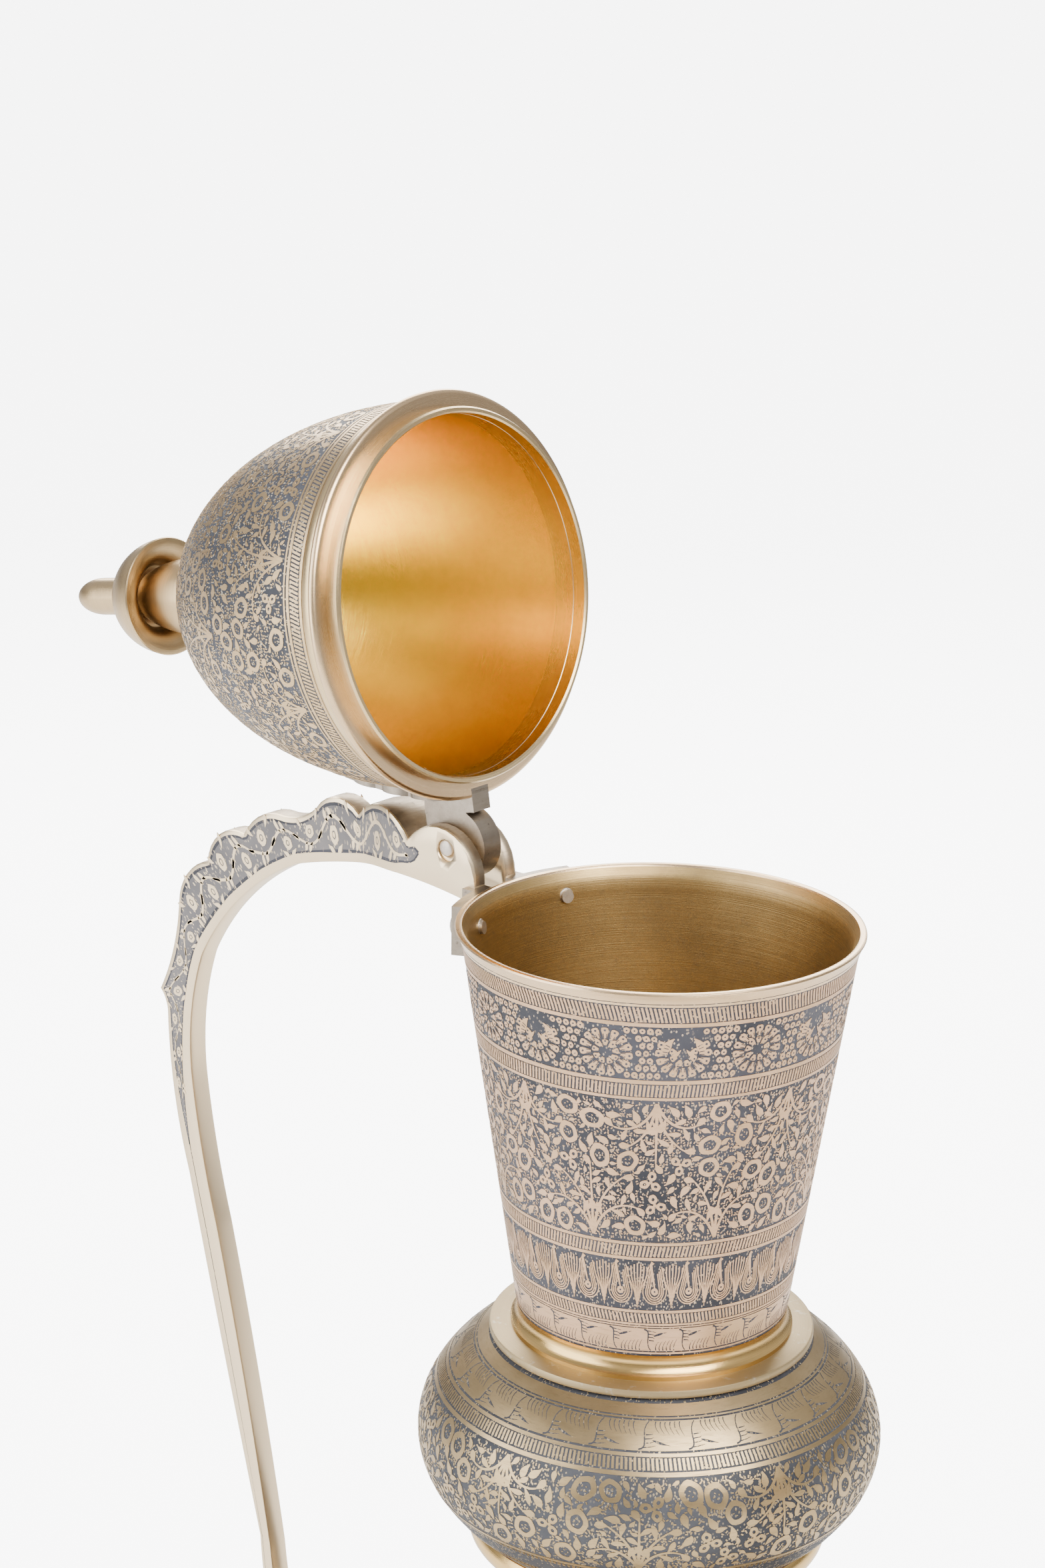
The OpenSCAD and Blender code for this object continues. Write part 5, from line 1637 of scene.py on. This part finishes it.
    @staticmethod
    def vine(p: Pattern, start: float, end: float, high: float) -> None:
        """A running scroll with a leaf and a curl in every bend."""
        period = 6.4
        count = int((end - start) / period)
        period = (end - start) / count
        rng = random.Random(7)
        p.stroke([(start + period * i / 8, high / 2 + math.sin(TAU * i / 16) * high * 0.26) for i in range(8 * count + 1)], lambda t: 0.42 * (1.05 - 0.35 * t))
        for i in range(count):
            s = 1 if i % 2 == 0 else -1
            x = start + period * (i + 0.5)
            y = high / 2 - s * high * 0.16
            p.ring(x, y, 1.15, 0.45, 0.9, 0.0, 0.06, 12)
            p.dot(x, y, 0.3)
            for j in range(3):
                a = -s * (0.55 + 0.65 * j)
                p.leaf(x - 1.9 + 1.5 * j, high / 2 + s * high * (0.2 - 0.05 * abs(j - 1)), -a * 0.4 + (math.pi if j == 0 else 0), rng.uniform(1.5, 2.0), 0.7, 0.35 * s)
            for j in (-1, 1):
                p.leaf(x + j * 2.0, y - s * 0.9, math.pi / 2 * -s + j * 0.8, 1.7, 0.62, -0.3 * s * j)


@dataclass
class SpoutSizes:
    """Sizes of the spout, in millimetres and degrees."""

    z: float = 56.0
    angles: tuple[float, float, float] = (20.0, 82.0, 45.0)
    legs: tuple[float, float, float] = (16.0, 138.0, 15.0)
    bends: tuple[float, float] = (32.0, 38.0)
    radii: tuple[float, float, float, float] = (14.0, 9.6, 6.2, 5.2)
    wall: float = 1.2
    lip: float = 2.4


class SpoutSurface(Surface):
    """The outside of the spout: x runs round it and y along its path."""

    def __init__(self, spout: "Spout", reference: float) -> None:
        """Keeps the path. Args: spout: the spout. reference: radius at which x is true to length."""
        self.spout, self.reference = spout, reference

    def place(self, x: float, y: float, lift: float) -> tuple[float, float, float]:
        """Point at x round and y along, raised by lift."""
        p, t, r = self.spout.at(y)
        a = x / self.reference
        up = (-t[1], t[0])
        r += lift
        return (p[0] + up[0] * r * math.cos(a), r * math.sin(a), p[1] + up[1] * r * math.cos(a))


class Spout:
    """The long spout on the side away from the handle."""

    def __init__(self, sizes: SpoutSizes, body: BodySizes) -> None:
        """Works out the path in the spout's own plane, with a radius at each point."""
        self.s = s = sizes
        a1, a2, a3 = (math.radians(a) for a in s.angles)
        root = (math.sqrt(1 - ((s.z - body.belly_z) / body.belly_hh) ** 2) * body.belly_r, s.z)
        sunk = 18.0
        path = [(root[0] + math.cos(a1) * d, root[1] + math.sin(a1) * d, a1) for d in (-sunk, 0.0, s.legs[0] / 2)]
        x, z = root[0] + math.cos(a1) * s.legs[0], root[1] + math.sin(a1) * s.legs[0]
        for i in range(17):
            a = a1 + (a2 - a1) * i / 16
            path.append((x + s.bends[0] * (math.sin(a) - math.sin(a1)), z + s.bends[0] * (math.cos(a1) - math.cos(a)), a))
        x, z = path[-1][0], path[-1][1]
        path += [(x + math.cos(a2) * s.legs[1] * i / 24, z + math.sin(a2) * s.legs[1] * i / 24, a2) for i in range(1, 24)]
        x, z = x + math.cos(a2) * s.legs[1], z + math.sin(a2) * s.legs[1]
        for i in range(17):
            a = a2 - (a2 - a3) * i / 16
            path.append((x + s.bends[1] * (math.sin(a2) - math.sin(a)), z + s.bends[1] * (math.cos(a) - math.cos(a2)), a))
        x, z = path[-1][0], path[-1][1]
        path += [(x + math.cos(a3) * d, z + math.sin(a3) * d, a3) for d in (s.legs[2] * 0.5, s.legs[2], s.legs[2] + s.lip)]
        self.path = np.array(path)
        step = np.hypot(*np.diff(self.path[:, :2], axis=0).T)
        self.reach = np.concatenate([[0.0], np.cumsum(step)])
        self.knots = (sunk, sunk + s.legs[0], sunk + s.legs[0] + s.bends[0] * (a2 - a1))
        leg_end = self.knots[2] + s.legs[1]
        crook_end = leg_end + s.bends[1] * (a2 - a3)
        self.stops = (0.0, self.knots[1], self.knots[2], leg_end, crook_end, float(self.reach[-1]))
        self.radii = (s.radii[0], s.radii[1], s.radii[1], s.radii[2], s.radii[2], s.radii[3])

    def at(self, y: float) -> tuple[Pt, Pt, float]:
        """Point, direction and radius at length y."""
        x, z, a = (float(np.interp(y, self.reach, self.path[:, k])) for k in (0, 1, 2))
        return (x, z), (math.cos(a), math.sin(a)), float(np.interp(y, self.stops, self.radii))

    def build(self) -> None:
        """Sweeps the tube and rolls its lip."""
        length, wall = self.stops[-1], self.s.wall
        outer = SpoutSurface(self, self.s.radii[1])
        bin_ = MeshBin()
        rows: list[tuple[float, float, int]] = [(y, 0.0, 0) for y in np.linspace(0, length - self.s.lip, 150)]
        rows += [(length - self.s.lip + 0.1, 0.55, 2), (length - 1.2, 0.85, 2), (length - 0.3, 0.6, 2), (length, 0.1, 2), (length, -wall + 0.3, 2), (length - 0.3, -wall, 2)]
        rows += [(y, -wall, 1) for y in np.linspace(length - 1, 0, 70)]
        around_, whole = 64, TAU * self.s.radii[1]
        for y, lift, _ in rows:
            bin_.verts += [outer.place(whole * i / around_, y, lift) for i in range(around_)]
        for k, row in enumerate(rows):
            n = (k + 1) % len(rows)
            for i in range(around_):
                j = (i + 1) % around_
                bin_.faces.append((k * around_ + i, n * around_ + i, n * around_ + j, k * around_ + j))
                bin_.uvs.append(((whole * i / around_, row[0]), (whole * i / around_, rows[n][0]), (whole * (i + 1) / around_, rows[n][0]), (whole * (i + 1) / around_, row[0])))
                bin_.slots.append(row[2])
        tube = bin_.make("spout_tube", [Metal.BODY.material(), Metal.SHELL_INSIDE.material(), Metal.FILLET.material()])
        seat(tube, "pot", "polished_brass", "spout_root", "spout_elbow", "spout_leg", "spout_crook", "spout_beak", "spout_lip")

    def dress(self) -> None:
        """Lays chased rings and two rows of sprays along the long leg."""
        surface = SpoutSurface(self, 8.0)
        whole = TAU * surface.reference
        y0, y1 = self.knots[2] + 4.0, self.stops[3] - 6.0
        bands = MeshBin()
        rings = (y0, y0 + (y1 - y0) / 2, y1)
        for y in rings:
            for off in (-2.2, 0.0, 2.2):
                line = [(whole * i / 48, y + off) for i in range(48)]
                bands.ribbon(surface, [(a, b - 0.45) for a, b in line], [(a, b + 0.45) for a, b in line], True, -0.1, 0.28)
        seat(bands.make("spout_rings", [Metal.FILLET.material()]), "pot", "polished_brass")
        cuts = Pattern()
        for low, high in zip(rings, rings[1:]):
            f = Field(whole / 2, high - low - 6.4, 103, 1.15)
            f.spray(f.width * 0.5, 0.5, math.pi / 2, 17, 3, 0.5)
            f.spray(f.width * 0.05, f.height * 0.34, math.pi / 2, 16, 3, 0.5)
            f.spray(f.width * 0.5, f.height * 0.62, math.pi / 2, 15, 3, 0.5)
            f.fill(8, 6, 20)
            for copy in (0, 1):
                move = copy * f.width
                cuts.ribbons += [([(x + move, y + low + 3.2) for x, y in l], [(x + move, y + low + 3.2) for x, y in r], c) for l, r, c in f.figures.ribbons]
        seat(MeshBin().lay(surface, cuts, -0.1, 0.03).make("spout_chasing", [Metal.CUP_GROUND.material()]), "pot", "engraved_brass")


class Fittings:
    """The hinge pin, rivets, bracket, strap and the solder that holds them."""

    NODE_METALS = {"rim_bracket": Metal.TINNED, "lid_strap": Metal.TINNED, "bracket_rivets": Metal.PIN, "pad_rivets": Metal.PIN, "strap_rivets": Metal.PIN,
                   "finial_stud": Metal.PIN, "stud_washer": Metal.PIN, "handle_pad": Metal.HANDLE, "spout_socket": Metal.FILLET}

    def __init__(self, body: BodySizes, lid: LidSizes, handle: HandleSizes) -> None:
        """Keeps the sizes."""
        self.b, self.l, self.h = body, lid, handle

    def build(self, nodes: dict[str, bpy.types.Object]) -> None:
        """Dresses the CAD pieces that keep their shape and adds the pin and the solder."""
        for name, metal in self.NODE_METALS.items():
            data = nodes[name].data
            data.materials.clear()
            data.materials.append(metal.material())
        self.pin()
        self.rivet_ends()
        self.solder()

    def pin(self) -> None:
        """The hinge pin, with its ends riveted over."""
        r, half = self.h.pin_r, self.h.fork_w / 2 - 0.15
        end = [(r * math.sin(t), half - 0.45 + 0.45 * math.cos(t)) for t in [math.pi / 2 * i / 8 for i in range(1, 9)]]
        loop = [(0, -half, 0)] + numbered([(a, -z) for a, z in end], 0) + numbered(reversed(end), 0) + [(0, half, 0)]
        turn = Matrix.Translation((-self.l.pin_x * MM, 0, (self.b.rim_z + self.l.pin_up) * MM)) @ Matrix.Rotation(math.radians(90), 4, "X")
        seat(lathe("hinge_pin_riveted", loop, [Metal.PIN.material()], turn, 48), "pot", "steel_pin", "hinge_pin")

    def rivet_ends(self) -> None:
        """The two rivets' closed ends inside the cup."""
        b = self.b
        cup = b.rim_r - b.lip_flare - b.wall
        for side in (-1, 1):
            z = b.rim_z - 4.8
            loop = [(0, 0.55, 0), (0.9, 0.45, 0), (1.5, 0.2, 0), (1.75, -0.3, 0), (0, -0.3, 0)]
            turn = Matrix.Rotation(math.radians(180 + side * 21), 4, "Z") @ Matrix.Translation(((cup - 0.35) * MM, 0, z * MM)) @ Matrix.Rotation(math.radians(-90), 4, "Y")
            seat(lathe(f"bracket_rivet_end_{'near' if side < 0 else 'far'}", loop, [Metal.PIN.material()], turn, 32), "pot", "steel_pin")

    def lump(self, at: Vector, size: Sequence[float], seed: int) -> list[Vector]:
        """Corners of one small uneven lump of solder."""
        rng = random.Random(seed)
        wave = [(rng.uniform(1, 4), rng.uniform(0, TAU)) for _ in range(3)]
        out = []
        for i in range(1, 8):
            t = math.pi * i / 8
            for j in range(14):
                a = TAU * j / 14
                k = 1 + 0.12 * math.sin(wave[0][0] * t + wave[0][1]) * math.cos(2 * a + wave[1][1]) + 0.08 * math.sin(3 * a + wave[2][1])
                out.append(at + Vector((size[0] * k * math.sin(t) * math.cos(a), size[1] * k * math.sin(t) * math.sin(a), size[2] * math.cos(t))))
        return [at + Vector((0, 0, size[2]))] + out + [at - Vector((0, 0, size[2]))]

    def solder(self) -> None:
        """Fillets of soft solder at the bracket and at the strap's root."""
        b, l = self.b, self.l
        spots = [(Vector((-(b.rim_r + 1.6) * math.cos(a), (b.rim_r + 1.6) * math.sin(a), b.rim_z - z)), size)
                 for a, z, size in ((0.22, 9.3, (1.6, 2.2, 1.0)), (-0.24, 9.1, (1.5, 2.4, 1.1)), (-0.36, 2.2, (0.9, 2.0, 0.9)), (0.37, 2.0, (0.9, 1.8, 0.8)), (0.0, 9.6, (1.5, 3.4, 0.9)))]
        self.blobs("bracket_solder", spots, "pot", None)
        spots = [(Vector((-(l.dome_r + 0.6), y, l.dome_z + z)), size)
                 for y, z, size in ((3.6, 1.2, (1.0, 1.3, 1.6)), (-3.7, 1.6, (1.1, 1.4, 1.9)), (3.0, 5.5, (0.8, 1.0, 2.0)), (-3.2, 6.4, (0.8, 1.0, 1.6)))]
        self.blobs("strap_solder", spots, "lid", l.opened(b.rim_z))

    def blobs(self, name: str, spots: Sequence[tuple[Vector, Sequence[float]]], body: str, matrix: Matrix | None) -> None:
        """Makes one piece of several lumps."""
        bin_ = MeshBin()
        for seed, (at, size) in enumerate(spots):
            base = len(bin_.verts)
            points = self.lump(at, size, seed)
            bin_.verts += [tuple(p) for p in points]
            last = base + len(points) - 1
            for j in range(14):
                k = (j + 1) % 14
                bin_.faces += [(base, base + 1 + j, base + 1 + k), (last, last - 14 + k, last - 14 + j)]
                bin_.faces += [(base + 1 + 14 * i + j, base + 15 + 14 * i + j, base + 15 + 14 * i + k, base + 1 + 14 * i + k) for i in range(6)]
        bin_.uvs = [tuple((float(i), 0.0) for i in range(len(f))) for f in bin_.faces]
        seat(bin_.make(name, [Metal.SOLDER.material()], matrix, 80), body, "grey_solder_metal")


class Studio:
    """Floor, soft lights, white surround and camera."""

    def __init__(self, rim_z: float) -> None:
        """Keeps the rim's height, which the camera is set by."""
        self.rim_z = rim_z

    def build(self) -> None:
        """Sets the scene up."""
        self.floor()
        self.world()
        for name, place, aim, size, power, colour in (
                ("key", (0.75, -0.25, 1.05), (0, 0, 0.24), 0.8, 26.0, (1.0, 0.98, 0.95)),
                ("fill", (-0.55, -0.95, 0.55), (0, 0, 0.24), 1.0, 17.0, (0.95, 0.97, 1.0)),
                ("back", (-0.7, 0.75, 0.9), (0, 0, 0.24), 0.9, 20.0, (1.0, 0.99, 0.97))):
            data = bpy.data.lights.new(name, "AREA")
            data.shape, data.size, data.energy, data.color = "SQUARE", size, power, colour
            lamp = bpy.data.objects.new(name, data)
            lamp.location = place
            lamp.rotation_euler = (Vector(aim) - Vector(place)).to_track_quat("-Z", "Y").to_euler()
            bpy.context.scene.collection.objects.link(lamp)
        self.camera(self.rim_z)

    @staticmethod
    def floor() -> None:
        """A broad pale floor with a little unevenness."""
        bin_ = MeshBin()
        n, side = 16, 26000.0
        bin_.verts = [(side * (i / n - 0.5), side * (j / n - 0.5), -0.01) for i in range(n + 1) for j in range(n + 1)]
        for i in range(n):
            for j in range(n):
                a = i * (n + 1) + j
                bin_.faces.append((a, a + n + 1, a + n + 2, a + 1))
                bin_.uvs.append(((i, j), (i + 1, j), (i + 1, j + 1), (i, j + 1)))
        k = NodeKit("studio_floor")
        fine = k.noise(k.where(False, (30, 30, 30)), 1.0, 3)
        mat = k.dress(k.mix(k.ramp(fine, [(0.3, 0), (0.7, 1)]), (0.90, 0.895, 0.89), (0.93, 0.925, 0.92)), k.math("ADD", k.math("MULTIPLY", fine, 0.1), 0.6), 0.0)
        tree = mat.node_tree
        path, glow = tree.nodes.new("ShaderNodeLightPath"), tree.nodes.new("ShaderNodeMath")
        glow.operation = "MULTIPLY_ADD"
        glow.inputs[1].default_value, glow.inputs[2].default_value = 6.0, 0.4
        shader = next(n for n in tree.nodes if n.type == "BSDF_PRINCIPLED")
        shader.inputs["Emission Color"].default_value = (1, 1, 1, 1)
        tree.links.new(path.outputs["Is Camera Ray"], glow.inputs[0])
        tree.links.new(glow.outputs[0], shader.inputs["Emission Strength"])
        obj = bin_.make("studio_floor", [mat])

    @staticmethod
    def world() -> None:
        """White to the eye, and a soft room with dark corners in the reflections."""
        world = bpy.data.worlds.new("studio")
        bpy.context.scene.world = world
        world.use_nodes = True
        tree = world.node_tree
        tree.nodes.clear()
        new, link = tree.nodes.new, tree.links.new
        coord, split, ramp = new("ShaderNodeTexCoord"), new("ShaderNodeSeparateXYZ"), new("ShaderNodeValToRGB")
        room, white, pick, path, out = new("ShaderNodeBackground"), new("ShaderNodeBackground"), new("ShaderNodeMixShader"), new("ShaderNodeLightPath"), new("ShaderNodeOutputWorld")
        shape = ((0.0, (0.30, 0.27, 0.24)), (0.40, (0.42, 0.40, 0.38)), (0.50, (0.16, 0.15, 0.15)), (0.60, (0.62, 0.62, 0.64)), (0.78, (0.95, 0.95, 0.97)), (1.0, (0.50, 0.51, 0.55)))
        for i, (at, colour) in enumerate(shape):
            e = ramp.color_ramp.elements[i] if i < 2 else ramp.color_ramp.elements.new(at)
            e.position, e.color = at, (*colour, 1)
        half = new("ShaderNodeMath")
        half.operation = "MULTIPLY_ADD"
        half.inputs[1].default_value, half.inputs[2].default_value = 0.5, 0.5
        link(coord.outputs["Generated"], split.inputs[0])
        link(split.outputs["Z"], half.inputs[0])
        link(half.outputs[0], ramp.inputs[0])
        link(ramp.outputs[0], room.inputs["Color"])
        room.inputs["Strength"].default_value = 0.85
        white.inputs["Color"].default_value = (1, 1, 1, 1)
        white.inputs["Strength"].default_value = 12.0
        link(path.outputs["Is Camera Ray"], pick.inputs[0])
        link(room.outputs[0], pick.inputs[1])
        link(white.outputs[0], pick.inputs[2])
        link(pick.outputs[0], out.inputs["Surface"])

    @staticmethod
    def camera(rim_z: float) -> None:
        """A little above the rim, on the handle's near side. Args: rim_z: height of the rim, in millimetres."""
        data = bpy.data.cameras.new("camera")
        data.lens, data.sensor_width, data.dof.use_dof = 79.27, 36.0, False
        data.clip_start = 0.01
        cam = bpy.data.objects.new("camera", data)
        cam.location = (0.36328, -0.47207, rim_z * MM + 0.20213)
        heading_, pitch, roll = math.radians(130.03), math.radians(16.46), math.radians(0.69)
        aim = Vector((math.cos(heading_) * math.cos(pitch), math.sin(heading_) * math.cos(pitch), -math.sin(pitch)))
        cam.rotation_euler = (aim.to_track_quat("-Z", "Y").to_matrix() @ Matrix.Rotation(roll, 3, "Z")).to_euler()
        bpy.context.scene.collection.objects.link(cam)
        bpy.context.scene.camera = cam


def main() -> None:
    """Builds the ewer from its sub-assemblies, in order."""
    logging.basicConfig(level=logging.INFO, format="%(message)s")
    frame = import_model()
    body, lid, handle = BodySizes(), LidSizes(), HandleSizes()
    Studio(body.rim_z).build()
    for part in (Cup(body), Bulb(body), Belly(body), Lid(lid, body.rim_z), Handle(handle, body, lid), Spout(SpoutSizes(), body)):
        part.build()
        part.dress()
    Fittings(body, lid, handle).build(frame["nodes"])


if __name__ == "__main__":
    main()
